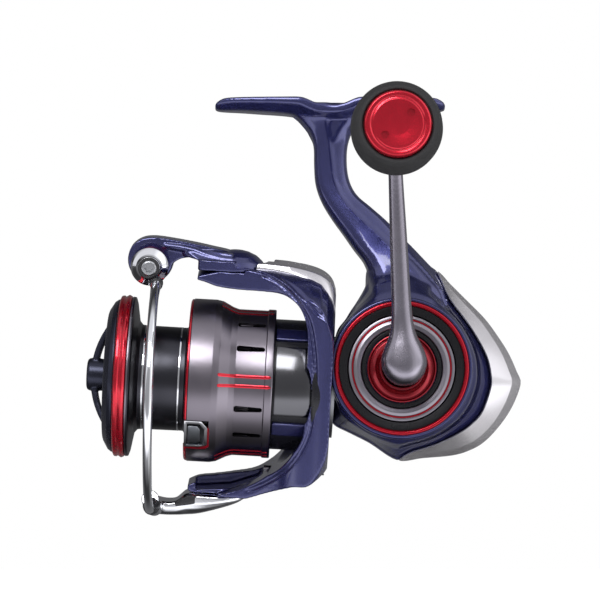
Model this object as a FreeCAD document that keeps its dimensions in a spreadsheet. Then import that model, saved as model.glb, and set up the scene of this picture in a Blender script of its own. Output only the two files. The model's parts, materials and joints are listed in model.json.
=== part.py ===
"""Spinning reel, size 2500: a parametric assembly of separate pieces, in millimetres.

Row frame: origin at the middle of the foot's seat on the rod, +X forward towards the spool,
+Y towards the handle, +Z up to the rod. Most pieces are drawn in a frame of their own:

  SPOOL   x along the spool axis, z up, origin under the drive axis
  ROTOR   the spool frame rolled about its x axis to the rotor's rest angle
  SIDE    x along the drive axis (row +Y), origin on the reel's middle plane
  CRANK   the side frame leaned to the handle's rest angle, z along the handle arm
  KNOB    the crank frame moved to the end of the handle arm
"""
import FreeCAD, Part
import Sketcher
import math
import os

V = FreeCAD.Vector
doc = FreeCAD.newDocument("SpinningReel")
sheet = doc.addObject("Spreadsheet::Sheet", "Sizes")

# ------------------------------------------------------------------ driving dimensions
DIMENSIONS = {
    # frames
    "spool_x": -18.72, "spool_z": -81.29, "spool_tilt": 3.1, "axis_offset": 5.2,
    "rotor_roll": 12.0, "crank_lean": 2.8, "crank_radius": 59.5,
    # general fits and walls
    "slip": 0.05, "gap": 0.3, "shell": 1.3,
    # foot and stem
    "foot_length": 64.0, "foot_width": 15.0, "foot_toe_width": 7.0, "foot_depth": 9.0,
    "saddle_half": 8.3, "saddle_depth": 2.2,
    # housing
    "housing_half": 16.0, "housing_tail_half": 5.0, "housing_nose_half": 12.5,
    "rim_radius": 19.0, "rim_top": 19.5, "bay_radius": 16.4, "bay_floor": 2.2,
    "far_boss_radius": 13.0, "far_boss_top": 18.0, "plate_station": 17.7,
    # drive train
    "gear_teeth": 43, "pinion_teeth": 7, "mesh_station": 13.0, "mesh_half": 2.4,
    "pinion_pitch": 3.0, "pinion_tip": 3.5, "pinion_root": 2.5, "tooth_height": 0.6,
    "gear_plane": 3.6, "gear_back": 6.7, "drive_journal": 3.5, "drive_stem": 2.7,
    "small_teeth": 16, "large_teeth": 40, "tooth_module": 0.5, "train_floor": -8.8, "train_top": -6.8,
    "crank_pin_orbit": 6.3, "crank_pin_radius": 1.2,
    "side_bearing_radius": 6.5, "far_bearing_radius": 5.4,
    # main shaft and slider
    "shaft_radius": 1.75, "shaft_rear": -15.5, "shaft_front": 81.0,
    "slider_rear": -15.5, "slider_front": -10.5, "slider_half": 10.2,
    "rod_height": 9.0, "rod_radius": 0.9, "rod_rear": -24.3, "rod_front": 4.2,
    # pinion stack
    "pinion_rear": 3.8, "pinion_front": 36.2, "rear_bearing_radius": 4.5, "front_bearing_radius": 6.5,
    "seat_radius": 3.0, "sleeve_radius": 5.4, "clutch_roller": 1.05, "clutch_ring": 9.5,
    # rotor
    "rotor_rear": 18.8, "rotor_wall": 30.6, "rotor_front": 33.0, "rotor_bore": 16.7, "rotor_drum": 18.1,
    "rotor_flange": 20.6, "drum_front": 41.0, "band_front": 24.0, "arm_front": 56.5, "arm_outer": 32.8, "arm_inner": 23.6,
    "arm_half": 8.0, "ear_height": 29.5,
    # bail
    "pivot_station": 46.5, "pivot_radius": 1.6, "lever_hub": 8.4, "lever_top": 36.2, "link_floor": 33.2,
    "roller_station": 69.9, "roller_height": 32.0, "roller_radius": 3.4, "head_radius": 6.2,
    "wire_radius": 1.2, "wire_reach": 43.0,
    # spool
    "spool_rear": 34.7, "skirt_slim": 20.5, "skirt_wide": 22.5, "skirt_wall": 1.0, "skirt_front": 57.6,
    "arbor_front": 71.6, "arbor_radius": 14.3, "lip_rear": 74.4, "lip_front": 77.9, "lip_radius": 22.6,
    "nose_front": 80.8, "nose_radius": 20.7, "drag_radius": 11.0, "drag_floor": 67.5,
    "hub_radius": 6.4, "hub_rear": 48.0, "spool_bearing": 4.5,
    "slot_pairs": 5, "slot_offset": 4.2, "slot_rear": 37.3, "slot_front": 44.9, "slot_width": 1.25,
    # drag knob
    "knob_hub": 4.55, "knob_hub_front": 86.2, "knob_ring": 16.0,
    # handle knob
    "grip_radius": 12.1, "grip_inner": 51.0, "grip_outer": 73.0, "cap_radius": 8.55, "post_radius": 1.9,
}

# Corners of the housing seen from the side, (row x, row z), from the neck round by the belly.
HOUSING = [
    ("neck_front", -10.4, -47.7), ("brow", -9.8, -52.0), ("cheek", -7.6, -56.2),
    ("plate_top", -1.9, -64.7), ("plate_bottom", -0.3, -90.5), ("belly_front", -10.9, -95.8),
    ("belly_tip", -18.5, -100.4), ("belly_rear", -25.6, -99.9), ("tail_bottom", -39.4, -97.4),
    ("tail_low", -46.0, -91.9), ("tail_under", -51.1, -83.9), ("tail_point", -52.6, -79.2),
    ("tail_high", -49.3, -71.1), ("back_mid", -42.7, -61.4), ("neck_rear", -29.0, -47.8),
]
# The forward edge of the rear cover, from the neck down to the belly.
COVER_EDGE = [
    ("edge_top", -28.4, -46.0), ("edge_high", -32.7, -56.8), ("edge_back", -42.8, -72.5),
    ("edge_rear", -43.9, -80.2), ("edge_low", -40.8, -88.4), ("edge_under", -35.3, -93.0),
    ("edge_belly", -19.4, -98.6), ("edge_end", -18.0, -102.0),
]
# The stem's elliptical sections: height, front edge, rear edge, half thickness.
STEM = [
    (-3.0, 9.0, -9.0, 6.0), (-6.0, 6.9, -6.5, 5.0), (-9.0, 5.6, -4.3, 4.3), (-13.0, 4.2, -3.9, 4.0),
    (-19.0, 4.2, -4.2, 4.0), (-26.0, 3.4, -5.5, 4.3), (-31.0, 1.2, -10.2, 4.8), (-36.0, -2.2, -16.8, 5.5),
    (-41.0, -5.7, -22.0, 6.3), (-47.5, -10.4, -28.0, 7.5), (-54.0, -9.0, -33.0, 10.0),
]


def fill_sheet():
    """Write every dimension into the sheet as a plain number with an alias."""
    rows = list(DIMENSIONS.items())
    for name, x, z in HOUSING + COVER_EDGE:
        rows += [(name + "_x", x), (name + "_z", z)]
    for number, section in enumerate(STEM):
        for part_name, value in zip(("height", "front", "rear", "half"), section):
            rows.append((f"stem_{part_name}_no{number}", value))
    for row, (name, value) in enumerate(rows, start=1):
        sheet.set(f"A{row}", name)
        sheet.set(f"B{row}", str(value))
        sheet.setAlias(f"B{row}", name)
    doc.recompute()


class Size:
    """A number together with the sheet expression that gives it."""

    def __init__(self, value, text):
        self.value = float(value)
        self.text = text

    def __add__(self, other):
        other = as_size(other)
        return Size(self.value + other.value, f"({self.text} + {other.text})")

    def __sub__(self, other):
        other = as_size(other)
        return Size(self.value - other.value, f"({self.text} - {other.text})")

    def __mul__(self, other):
        other = as_size(other)
        return Size(self.value * other.value, f"({self.text} * {other.text})")

    def __truediv__(self, other):
        other = as_size(other)
        return Size(self.value / other.value, f"({self.text} / {other.text})")

    def __neg__(self):
        return Size(-self.value, f"(0 - {self.text})")

    __radd__ = __add__
    __rmul__ = __mul__

    def __rsub__(self, other):
        return as_size(other) - self


def as_size(value):
    return value if isinstance(value, Size) else Size(value, f"({float(value)!r})")


class Sheet:
    """Sizes by name: dim.lip_radius is the sheet's value with its expression."""

    def __getattr__(self, name):
        return Size(sheet.get(name), "Sizes." + name)


dim = Sheet()
fill_sheet()


def root(size):
    return Size(math.sqrt(size.value), f"sqrt({size.text})")


def place(x=0, y=0, z=0, axis=(0, 0, 1), angle=0):
    """Expression text of a placement: a move, and a turn about an axis in degrees."""
    x, y, z, angle = (as_size(item).text for item in (x, y, z, angle))
    turn = f"rotation(vector({axis[0]}; {axis[1]}; {axis[2]}); {angle})"
    return f"placement(vector({x}; {y}; {z}); {turn})"


UPRIGHT, ALONG_X, ALONG_Y = (0, 0, 1), (1, 0, 0), (0, 1, 0)
ROW = place()
SPOOL = place(dim.spool_x, 0, dim.spool_z, ALONG_Y, -dim.spool_tilt)
ROTOR = SPOOL + " * " + place(axis=ALONG_X, angle=-dim.rotor_roll)
LEVEL = SPOOL + " * " + place(z=dim.axis_offset, axis=ALONG_Y, angle=dim.spool_tilt)
SIDE = LEVEL + " * " + place(angle=90)
CRANK = LEVEL + " * " + place(axis=ALONG_Y, angle=dim.crank_lean) + " * " + place(angle=90)
KNOB = CRANK + " * " + place(z=dim.crank_radius)
MESH = SPOOL + " * " + place(z=dim.axis_offset, angle=90)
SLIDE_GEAR_BACK = root(dim.tooth_module * dim.tooth_module * (dim.small_teeth + dim.large_teeth)
                       * (dim.small_teeth + dim.large_teeth) / 4 - dim.axis_offset * dim.axis_offset)
SLIDE_GEAR = SPOOL + " * " + place(-SLIDE_GEAR_BACK, 0, 0, angle=90)

pieces = []      # the sub-parts that are written out, in order


# ------------------------------------------------------------------ helpers
def bind(item, prop, size):
    """Set a property to a size, and bind it to the sheet."""
    item.setExpression(prop, as_size(size).text)


def move(item, frame):
    item.setExpression("Placement", frame)
    return item


def keep(item, label, frame=None):
    """Name a finished sub-part and put it in its frame."""
    item.Label = label
    if frame:
        move(item, frame)
    pieces.append(item)
    return item


def closed_sketch(sketch, points):
    """Draw a closed outline whose corners are all bound to the sheet."""
    corners = [(as_size(x), as_size(y)) for x, y in points]
    count = len(corners)
    for number, (x, y) in enumerate(corners):
        end_x, end_y = corners[(number + 1) % count]
        sketch.addGeometry(Part.LineSegment(V(x.value, y.value, 0), V(end_x.value, end_y.value, 0)), False)
    for number in range(count):
        sketch.addConstraint(Sketcher.Constraint("Coincident", number, 2, (number + 1) % count, 1))
    for number, corner in enumerate(corners):
        for kind, size in zip(("DistanceX", "DistanceY"), corner):
            index = sketch.addConstraint(Sketcher.Constraint(kind, number, 1, size.value))
            sketch.setExpression(f"Constraints[{index}]", size.text)
    return sketch


def body_sketch(body, name, plane_role, points, start=0):
    """A sketch on one of the body's own origin planes, moved along its normal by start."""
    sketch = body.newObject("Sketcher::SketchObject", name)
    plane = next(item for item in body.Origin.OriginFeatures if item.Role == plane_role)
    sketch.AttachmentSupport = [(plane, "")]
    sketch.MapMode = "FlatFace"
    sketch.setExpression("AttachmentOffset.Base.z", as_size(start).text)
    return closed_sketch(sketch, points)


def turned(name, points):
    """A body turned about its x axis from (axial, radius) corners."""
    body = doc.addObject("PartDesign::Body", name)
    sketch = body_sketch(body, name + "_profile", "XY_Plane", points)
    turn = body.newObject("PartDesign::Revolution", name + "_turn")
    turn.Profile = sketch
    turn.ReferenceAxis = (sketch, ["H_Axis"])
    turn.Angle = 360
    return body


def padded(name, plane_role, points, length, start=0):
    """A body padded along the normal of a plane: XY goes up z, YZ along x, XZ towards -y."""
    body = doc.addObject("PartDesign::Body", name)
    sketch = body_sketch(body, name + "_outline", plane_role, points, start)
    pad = body.newObject("PartDesign::Pad", name + "_pad")
    pad.Profile = sketch
    bind(pad, "Length", length)
    return body


def ring(name, start, end, outer, inner):
    """A plain turned ring between two stations."""
    return turned(name, [(start, inner), (start, outer), (end, outer), (end, inner)])


def disc(name, start, end, radius, frame="", axis=ALONG_Y, angle=90, x=0, y=0, z=0):
    """A cylinder along the frame's x axis, from start to end."""
    item = doc.addObject("Part::Cylinder", name)
    bind(item, "Radius", radius)
    bind(item, "Height", as_size(end) - start)
    local = place(as_size(start) + x, y, z, axis, angle)
    return move(item, frame + " * " + local if frame else local)


def upright(name, bottom, top, radius, x=0, y=0, frame=""):
    """A cylinder along the frame's z axis."""
    item = doc.addObject("Part::Cylinder", name)
    bind(item, "Radius", radius)
    bind(item, "Height", as_size(top) - bottom)
    local = place(x, y, bottom)
    return move(item, frame + " * " + local if frame else local)


def cross(name, start, end, radius, x=0, z=0, frame=""):
    """A cylinder along the frame's y axis."""
    item = doc.addObject("Part::Cylinder", name)
    bind(item, "Radius", radius)
    bind(item, "Height", as_size(end) - start)
    local = place(x, start, z, ALONG_X, -90)
    return move(item, frame + " * " + local if frame else local)


def box(name, x_range, y_range, z_range, frame=""):
    item = doc.addObject("Part::Box", name)
    for prop, (low, high) in zip(("Length", "Width", "Height"), (x_range, y_range, z_range)):
        bind(item, prop, as_size(high) - low)
    local = place(x_range[0], y_range[0], z_range[0])
    return move(item, frame + " * " + local if frame else local)


def fused(name, items):
    item = doc.addObject("Part::MultiFuse", name)
    item.Shapes = items
    return item


def common(name, items):
    item = doc.addObject("Part::MultiCommon", name)
    item.Shapes = items
    return item


def cut(name, base, tools):
    item = doc.addObject("Part::Cut", name)
    item.Base = base
    item.Tool = tools[0] if len(tools) == 1 else fused(name + "_tools", tools)
    return item


def prism(name, points, plane_role, length, inset=None):
    """A prism centred on its plane. With an inset, the outline is moved inwards first."""
    sketch = doc.addObject("Sketcher::SketchObject", name + "_outline")
    closed_sketch(sketch, points)
    turn = {"XZ_Plane": place(axis=ALONG_X, angle=90), "XY_Plane": place()}[plane_role]
    move(sketch, turn)
    source = sketch
    if inset is not None:
        source = doc.addObject("Part::Offset2D", name + "_inset")
        source.Source = sketch
        bind(source, "Value", -inset)
        source.Join = 2
        source.Fill = False
    item = doc.addObject("Part::Extrusion", name)
    item.Base = source
    item.DirMode = "Normal"
    item.Solid = True
    item.Symmetric = True
    bind(item, "LengthFwd", length)
    return item


def solid_feature(name, shape):
    """A sub-part whose shape is worked out in this script."""
    item = doc.addObject("Part::Feature", name)
    item.Shape = shape
    return item


def named_points(table):
    return [(getattr(dim, name + "_x"), getattr(dim, name + "_z")) for name, _, _ in table]


def rivets(name, start, end, radius, circle, count, phase=0):
    """Identical pins or screws on a circle about the x axis, as one group of separate solids."""
    solids = []
    for number in range(count):
        angle = math.radians(phase + 360 * number / count)
        base = V(start, circle * math.cos(angle), circle * math.sin(angle))
        solids.append(Part.makeCylinder(radius, end - start, base, V(1, 0, 0)))
    return solid_feature(name, Part.makeCompound(solids))


def group(name, items):
    """Separate solids that share one node, such as a pair of like screws."""
    item = doc.addObject("Part::Compound", name)
    item.Links = items
    return item


def along(name, start, end, radius, y=0, z=0, frame=SPOOL):
    """A cylinder along the spool axis, or along a line beside it."""
    item = doc.addObject("Part::Cylinder", name)
    bind(item, "Radius", radius)
    bind(item, "Height", as_size(end) - start)
    return move(item, frame + " * " + place(start, y, z, ALONG_Y, 90))


# ------------------------------------------------------------------ body of the reel
def hull(name, inset=None):
    """The housing's outer shape: its side outline and its plan outline in common."""
    side = prism(name + "_side", named_points(HOUSING), "XZ_Plane", dim.housing_half * 2, inset)
    half, tail, nose = dim.housing_half, dim.housing_tail_half, dim.housing_nose_half
    plan = [(0.5, -nose), (-3, -half), (-37, -half), (-46, -tail - 6), (-53.2, -tail),
            (-53.2, tail), (-46, tail + 6), (-37, half), (-3, half), (0.5, nose)]
    top = prism(name + "_plan", plan, "XY_Plane", 240, inset)
    return common(name, [side, top])


def foot():
    """The flat foot with its saddle: a side outline and a tapered plan in common."""
    tip, saddle = dim.foot_length / 2, dim.saddle_half
    side = [(tip, -2.4), (tip, -1.2), (tip - 0.7, -0.5), (tip - 2.8, 0), (saddle, 0), (2, -dim.saddle_depth),
            (-2, -dim.saddle_depth), (-saddle, 0), (2.8 - tip, 0), (0.7 - tip, -0.5), (-tip, -1.2),
            (-tip, -2.4),
            (0.7 - tip, -3.0), (2.8 - tip, -3.4), (-20, -3.9), (-12, -4.4), (-8, -5), (-6, -dim.foot_depth),
            (6, -dim.foot_depth), (8, -5), (12, -4.4), (20, -3.9), (tip - 2.8, -3.4), (tip - 0.7, -3.0)]
    wide, narrow = dim.foot_width / 2, dim.foot_toe_width / 2
    plan = [(tip, -narrow), (tip, narrow), (tip - 4, wide - 2), (tip - 12, wide - 0.4), (8, wide),
            (-8, wide),
            (12 - tip, wide - 0.4), (4 - tip, wide - 2), (-tip, narrow), (-tip, -narrow),
            (4 - tip, 2 - wide),
            (12 - tip, 0.4 - wide), (-8, -wide), (8, -wide), (tip - 12, 0.4 - wide), (tip - 4, 2 - wide)]
    return common("foot", [prism("foot_side", side, "XZ_Plane", dim.foot_width + 2),
                           prism("foot_plan", plan, "XY_Plane", 2 * dim.foot_depth - 1)])


def stem():
    """The stem: a loft through ellipses that lean back and widen into the housing."""
    sections = []
    for number in range(len(STEM)):
        height, front, rear, half = (getattr(dim, f"stem_{name}_no{number}")
                                     for name in ("height", "front", "rear", "half"))
        section = doc.addObject("Part::Ellipse", "stem_section")
        long_half = (front - rear) / 2
        major_first = long_half.value >= half.value
        bind(section, "MajorRadius", long_half if major_first else half)
        bind(section, "MinorRadius", half if major_first else long_half)
        move(section, place((front + rear) / 2, 0, height, angle=0 if major_first else 90))
        sections.append(section)
    loft = doc.addObject("Part::Loft", "stem")
    loft.Sections = sections
    loft.Solid = True
    return loft


def main_body():
    zone = prism("cover_zone", named_points(COVER_EDGE) + [(-70, -102), (-70, -46)], "XZ_Plane", 60)
    outer = hull("hull_outer")
    core = hull("hull_core", dim.shell + 0.1)
    front = cut("housing_front", outer, [zone])
    rim = disc("rim", 0, dim.rim_top + 1.2, dim.rim_radius, SIDE)
    far_boss = disc("far_boss", -dim.far_boss_top, 0, dim.far_boss_radius, SIDE)
    neck = stem()
    solid = fused("body_solid", [foot(), neck, front, core, rim, far_boss])
    slide = dim.slider_half + 0.7
    tools = [
        disc("bay", dim.bay_floor, 40, dim.bay_radius, SIDE),
        disc("bay_seat", dim.rim_top - 0.3, 40, 18.0, SIDE),
        box("slider_bay", (-22.4, 1.5), (-5.2, dim.bay_floor + 1), (-slide, slide), SPOOL),
        disc("large_gear_bay", dim.train_floor - 0.5, -5, 10.9, SLIDE_GEAR),
        disc("small_gear_bay", dim.train_floor - 0.5, 4, 5.2, MESH),
        disc("far_bearing_bore", -13.6, 0, dim.far_bearing_radius + 0.02, MESH),
        disc("far_bore", -30, 0, 4.0, MESH),
        disc("far_cap_seat", -30, -16.6, 9.1, MESH),
        along("pinion_tunnel", -1, 30, 4.15),
        along("rear_bearing_pocket", 3.9, 7.3, dim.rear_bearing_radius + 0.02),
        along("clutch_seat", dim.plate_station, 40, 14.2),
        box("rotor_clearance", (dim.rotor_rear - 0.45, 60), (-30, 30), (-30, 30), SPOOL),
    ]
    for sign in (1, -1):
        bore, height = dim.rod_radius + 0.02, dim.rod_height * sign
        tools.append(along("rod_hole", dim.rod_rear - 0.5, 5, bore, 0.3, height))
    tools.append(cross("gear_post_hole", -12, 0, 1.52, -SLIDE_GEAR_BACK, 0, SPOOL))
    keep(cut("main_body", solid, tools), "main_body")
    cover = cut("rear_cover", common("cover_outer", [hull("hull_cover"), prism(
        "cover_zone_copy", named_points(COVER_EDGE) + [(-70, -102), (-70, -46)], "XZ_Plane", 60)]),
        [hull("hull_gap", dim.shell), neck,
         disc("cover_rim_relief", -dim.far_boss_top - 1, dim.rim_top + 3, dim.rim_radius + 0.1, SIDE)])
    keep(cover, "rear_cover")


def casing():
    """Plates, rings and caps that close the housing."""
    keep(turned("side_plate", [
        (11.4, dim.side_bearing_radius + 0.02), (11.4, 8.8), (14.6, 8.8), (14.6, dim.bay_radius - 0.05),
        (dim.rim_top - 0.25, dim.bay_radius - 0.05), (dim.rim_top - 0.25, 17.1), (dim.rim_top + 0.9, 17.1),
        (dim.rim_top + 0.9, 14.75), (16.7, 14.75), (16.7, 5.4), (15.1, 5.4),
        (15.1, dim.side_bearing_radius + 0.02)]), "side_plate", SIDE)
    keep(turned("side_plate_lock_ring", [
        (dim.rim_top - 0.25, 17.15), (dim.rim_top - 0.25, 17.95), (dim.rim_top + 1.1, 17.95),
        (dim.rim_top + 1.5, 17.7), (dim.rim_top + 1.5, 17.4), (dim.rim_top + 1.1, 17.15)]),
        "side_plate_lock_ring", SIDE)
    keep(turned("side_plate_face_ring", [
        (16.75, 10.85), (16.75, 14.7), (19.9, 14.7), (20.2, 14.3), (20.5, 10.85)]),
        "side_plate_face_ring", SIDE)
    keep(ring("handle_seal", 16.75, 20.3, 10.8, 9.75), "handle_seal", SIDE)
    keep(ring("side_bearing", 11.5, 15.0, dim.side_bearing_radius, dim.drive_journal + dim.slip),
         "side_bearing", SIDE)
    keep(ring("far_bearing", -13.5, -10.5, dim.far_bearing_radius, dim.drive_stem + dim.slip),
         "far_bearing", SIDE)
    keep(turned("far_side_cap", [
        (-16.7, 0), (-16.7, 9.0), (-18.2, 9.0), (-18.9, 8.2), (-18.9, 3.5), (-18.3, 3.0), (-18.3, 0)]),
        "far_side_cap", SIDE)
    keep(turned("clutch_housing", [
        (dim.plate_station + 0.02, 6.0), (dim.plate_station + 0.02, 14.0), (19.6, 14.0), (19.6, 11.5),
        (29.0, 11.5), (29.0, dim.clutch_ring + 0.02), (22.4, dim.clutch_ring + 0.02),
        (22.4, dim.front_bearing_radius + 0.02), (18.9, dim.front_bearing_radius + 0.02), (18.9, 6.0)]),
        "clutch_housing", SPOOL)
    keep(ring("clutch_cover", 29.05, 29.9, 11.4, 6.0), "clutch_cover", SPOOL)
    keep(rivets("clutch_housing_screws", 19.62, 20.3, 1.15, 12.75, 3, 30), "clutch_housing_screws", SPOOL)
    keep(ring("pinion_rear_bearing", 4.0, 7.0, dim.rear_bearing_radius, 2.4 + dim.slip),
         "pinion_rear_bearing", SPOOL)
    keep(ring("pinion_front_bearing", 19.0, 22.0, dim.front_bearing_radius, dim.drive_journal + dim.slip),
         "pinion_front_bearing", SPOOL)
    keep(ring("clutch_outer_ring", 22.5, 28.8, dim.clutch_ring, 7.6), "clutch_outer_ring", SPOOL)
    middle = (7.6 + dim.sleeve_radius.value) / 2
    keep(rivets("clutch_rollers", 23.0, 28.4, dim.clutch_roller.value, middle, 6), "clutch_rollers", SPOOL)
    rods = [Part.makeCylinder(dim.rod_radius.value, (dim.rod_front - dim.rod_rear).value,
                              V(dim.rod_rear.value, 0.3, sign * dim.rod_height.value), V(1, 0, 0))
            for sign in (1, -1)]
    keep(solid_feature("slider_guide_rods", Part.makeCompound(rods)), "slider_guide_rods", SPOOL)
    post = fused("gear_post_parts", [disc("post_stem", -11.9, dim.train_top + 0.35, 1.5),
                                     disc("post_head", dim.train_top + 0.3, dim.train_top + 0.9, 2.4)])
    keep(post, "oscillating_gear_post", SLIDE_GEAR)


# ------------------------------------------------------------------ drive train
def spur_gear(name, teeth, start, end, bore, phase, frame):
    """A spur gear: a root disc, one tooth, and a polar pattern of it."""
    module = dim.tooth_module
    pitch = module * teeth / 2
    low = pitch - module * 1.2
    high = pitch + module * 0.85
    body = ring(name, start, end, low, bore)
    half_low, half_high = module * 0.95, module * 0.42
    outline = [(half_low, low - 0.25), (half_high, high), (-half_high, high), (-half_low, low - 0.25)]
    tooth = body_sketch(body, name + "_tooth_outline", "YZ_Plane", outline, start)
    pad = body.newObject("PartDesign::Pad", name + "_tooth")
    pad.Profile = tooth
    bind(pad, "Length", as_size(end) - start)
    pattern = body.newObject("PartDesign::PolarPattern", name + "_teeth")
    pattern.Originals = [pad]
    pattern.Axis = (next(item for item in body.Origin.OriginFeatures if item.Role == "X_Axis"), [""])
    pattern.Angle = 360
    bind(pattern, "Occurrences", teeth)
    body.Tip = pattern
    keep(body, name, frame + " * " + place(axis=ALONG_X, angle=phase))
    return body


def drive_gear():
    """The face gear. Each tooth follows the curve that the pinion's thread draws on the turning disc."""
    offset, reach, half = dim.axis_offset.value, dim.mesh_station.value, dim.mesh_half.value
    ratio = dim.gear_teeth.value / dim.pinion_teeth.value
    lead = offset * ratio * dim.pinion_pitch.value / (ratio * dim.pinion_pitch.value - reach)
    plane, height = dim.gear_plane.value, dim.tooth_height.value
    inner = math.hypot(reach - half, offset)
    outer = math.hypot(reach + half, offset)
    rim = Part.makeCylinder(outer, dim.gear_back.value - plane, V(plane, 0, 0), V(1, 0, 0))
    rim = rim.cut(Part.makeCylinder(inner, 1.6, V(plane, 0, 0), V(1, 0, 0)))
    teeth = []
    steps = [reach - half + 0.15 + (2 * half - 0.3) * step / 4 for step in range(5)]

    def footprint(level, half_width, turn):
        sides = ([], [])
        for x in steps:
            radius = math.hypot(x, offset)
            angle = math.atan2(-offset, x) - (x - reach) / lead + turn
            slope = offset / radius ** 2 - 1 / lead
            width = half_width * math.hypot(x / radius, radius * slope) / (x / radius) / radius
            for side, sign in zip(sides, (1, -1)):
                side.append(V(level, -radius * math.cos(angle + sign * width),
                              radius * math.sin(angle + sign * width)))
        corners = sides[0] + sides[1][::-1]
        return Part.makePolygon(corners + corners[:1])

    for number in range(int(dim.gear_teeth.value)):
        turn = 2 * math.pi * number / dim.gear_teeth.value
        base, crest = footprint(plane + 0.05, 0.36, turn), footprint(plane - height, 0.26, turn)
        teeth.append(Part.makeLoft([base, crest], True, True))
    gear = rim.multiFuse(teeth)
    gear = gear.cut(Part.makeCylinder(dim.drive_journal.value, 20, V(0, 0, 0), V(1, 0, 0)))
    keep(solid_feature("drive_gear", gear), "drive_gear", MESH)


def pinion():
    """The hollow pinion: a left-handed thread of teeth on a stepped sleeve that carries the rotor."""
    offset, reach, half = dim.axis_offset.value, dim.mesh_station.value, dim.mesh_half.value
    ratio = dim.gear_teeth.value / dim.pinion_teeth.value
    lead = -offset * dim.pinion_pitch.value / (ratio * dim.pinion_pitch.value - reach)
    count = int(dim.pinion_teeth.value)
    root_radius, tip_radius = dim.pinion_root.value, dim.pinion_tip.value
    pitch_angle = 2 * math.pi / count

    def section(x):
        corners = []
        for number in range(count):
            middle = number * pitch_angle + pitch_angle / 2 + (x - reach) / lead
            for step, radius in ((-0.5, root_radius), (-0.26, root_radius), (-0.12, tip_radius),
                                 (0.12, tip_radius), (0.26, root_radius)):
                angle = middle + step * (pitch_angle if abs(step) == 0.5 else 1)
                corners.append(V(x, radius * math.cos(angle), radius * math.sin(angle)))
        return Part.makePolygon(corners + corners[:1])

    stations = [reach - half - 0.8 + (2 * half + 1.6) * step / 18 for step in range(19)]
    worm = Part.makeLoft([section(x) for x in stations], True, True)
    front = stations[-1]
    steps = [(dim.pinion_rear.value, stations[0] + 0.1, 2.4), (front - 0.1, 29.95, dim.drive_journal.value),
             (29.95, dim.pinion_front.value, dim.seat_radius.value)]
    sleeve = [Part.makeCylinder(radius, end - start, V(start, 0, 0), V(1, 0, 0))
              for start, end, radius in steps]
    bore = Part.makeCylinder(dim.shaft_radius.value + dim.slip.value, 80, V(-10, 0, 0), V(1, 0, 0))
    keep(solid_feature("pinion_gear", worm.multiFuse(sleeve).cut(bore)), "pinion_gear", SPOOL)


def drive_train():
    keep(turned("drive_shaft", [
        (-14.6, 0), (-14.6, dim.drive_stem), (dim.gear_plane + 1.7, dim.drive_stem),
        (dim.gear_plane + 1.7, 3.45), (dim.gear_back + 0.05, 3.45), (dim.gear_back + 0.05, 5.0), (8.0, 5.0),
        (8.0, dim.drive_journal), (16.6, dim.drive_journal), (16.6, 2.45), (9.0, 2.45), (9.0, 0)]),
        "drive_shaft", SIDE)
    drive_gear()
    pinion()
    half_tooth = as_size(180) / dim.small_teeth
    lean = math.degrees(math.atan2(dim.axis_offset.value, SLIDE_GEAR_BACK.value))
    line_up = Size(lean, f"atan({dim.axis_offset.text} / {SLIDE_GEAR_BACK.text}) / (1 deg)")
    spur_gear("oscillation_pinion", dim.small_teeth, dim.train_floor, dim.train_top, dim.drive_stem + 0.02,
              -90 - line_up + half_tooth * 2, MESH)
    spur_gear("oscillating_gear", dim.large_teeth, dim.train_floor, dim.train_top, 1.5 + dim.slip,
              90 - line_up + as_size(180) / dim.large_teeth, SLIDE_GEAR)
    keep(disc("oscillating_crank_pin", dim.train_top + 0.02, -5.4, dim.crank_pin_radius, SLIDE_GEAR,
              z=-dim.crank_pin_orbit), "oscillating_crank_pin")
    sleeve = ring("clutch_sleeve", 22.6, 28.7, dim.sleeve_radius, dim.drive_journal + 0.02)
    keep(sleeve, "clutch_sleeve", SPOOL)


def shaft_and_slider():
    """The main shaft, the slider that moves it, and what is fixed to it inside the spool."""
    keep(turned("main_shaft", [
        (dim.shaft_rear + 0.5, 0), (dim.shaft_rear + 0.5, dim.shaft_radius),
        (dim.shaft_front - 0.4, dim.shaft_radius),
        (dim.shaft_front, dim.shaft_radius - 0.4), (dim.shaft_front, 0)]), "main_shaft", SPOOL)
    tall = dim.slider_half
    block = box("slider_block", (dim.slider_rear, dim.slider_front), (-4.7, 2.0), (-tall, tall))
    middle = (dim.slider_rear + dim.slider_front) / 2
    tools = [box("slider_slot", (middle - 1.5, middle + 1.5), (-6, -2.3), (-7.9, 7.9)),
             along("slider_shaft_hole", dim.slider_rear + 0.5, 0, dim.shaft_radius + 0.02, frame=ROW)]
    for sign in (1, -1):
        bore, height = dim.rod_radius + dim.slip, dim.rod_height * sign
        tools.append(along("slider_rod_hole", -30, 0, bore, 0.3, height, ROW))
    keep(cut("oscillation_slider", block, tools), "oscillation_slider", SPOOL)
    keep(ring("spool_seat_collar", 44.6, 47.9, 4.4, dim.shaft_radius + 0.02), "spool_seat_collar", SPOOL)
    washers = []
    for start in (dim.drag_floor.value + 1.3, dim.drag_floor.value + 3.9):
        plate = Part.makeCylinder(10.3, 1.0, V(start, 0, 0), V(1, 0, 0))
        bore = Part.makeCylinder(dim.shaft_radius.value + 0.02, 3, V(start - 1, 0, 0), V(1, 0, 0))
        washers.append(plate.cut(bore))
    keep(solid_feature("drag_keyed_washers", Part.makeCompound(washers)), "drag_keyed_washers", SPOOL)


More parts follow.
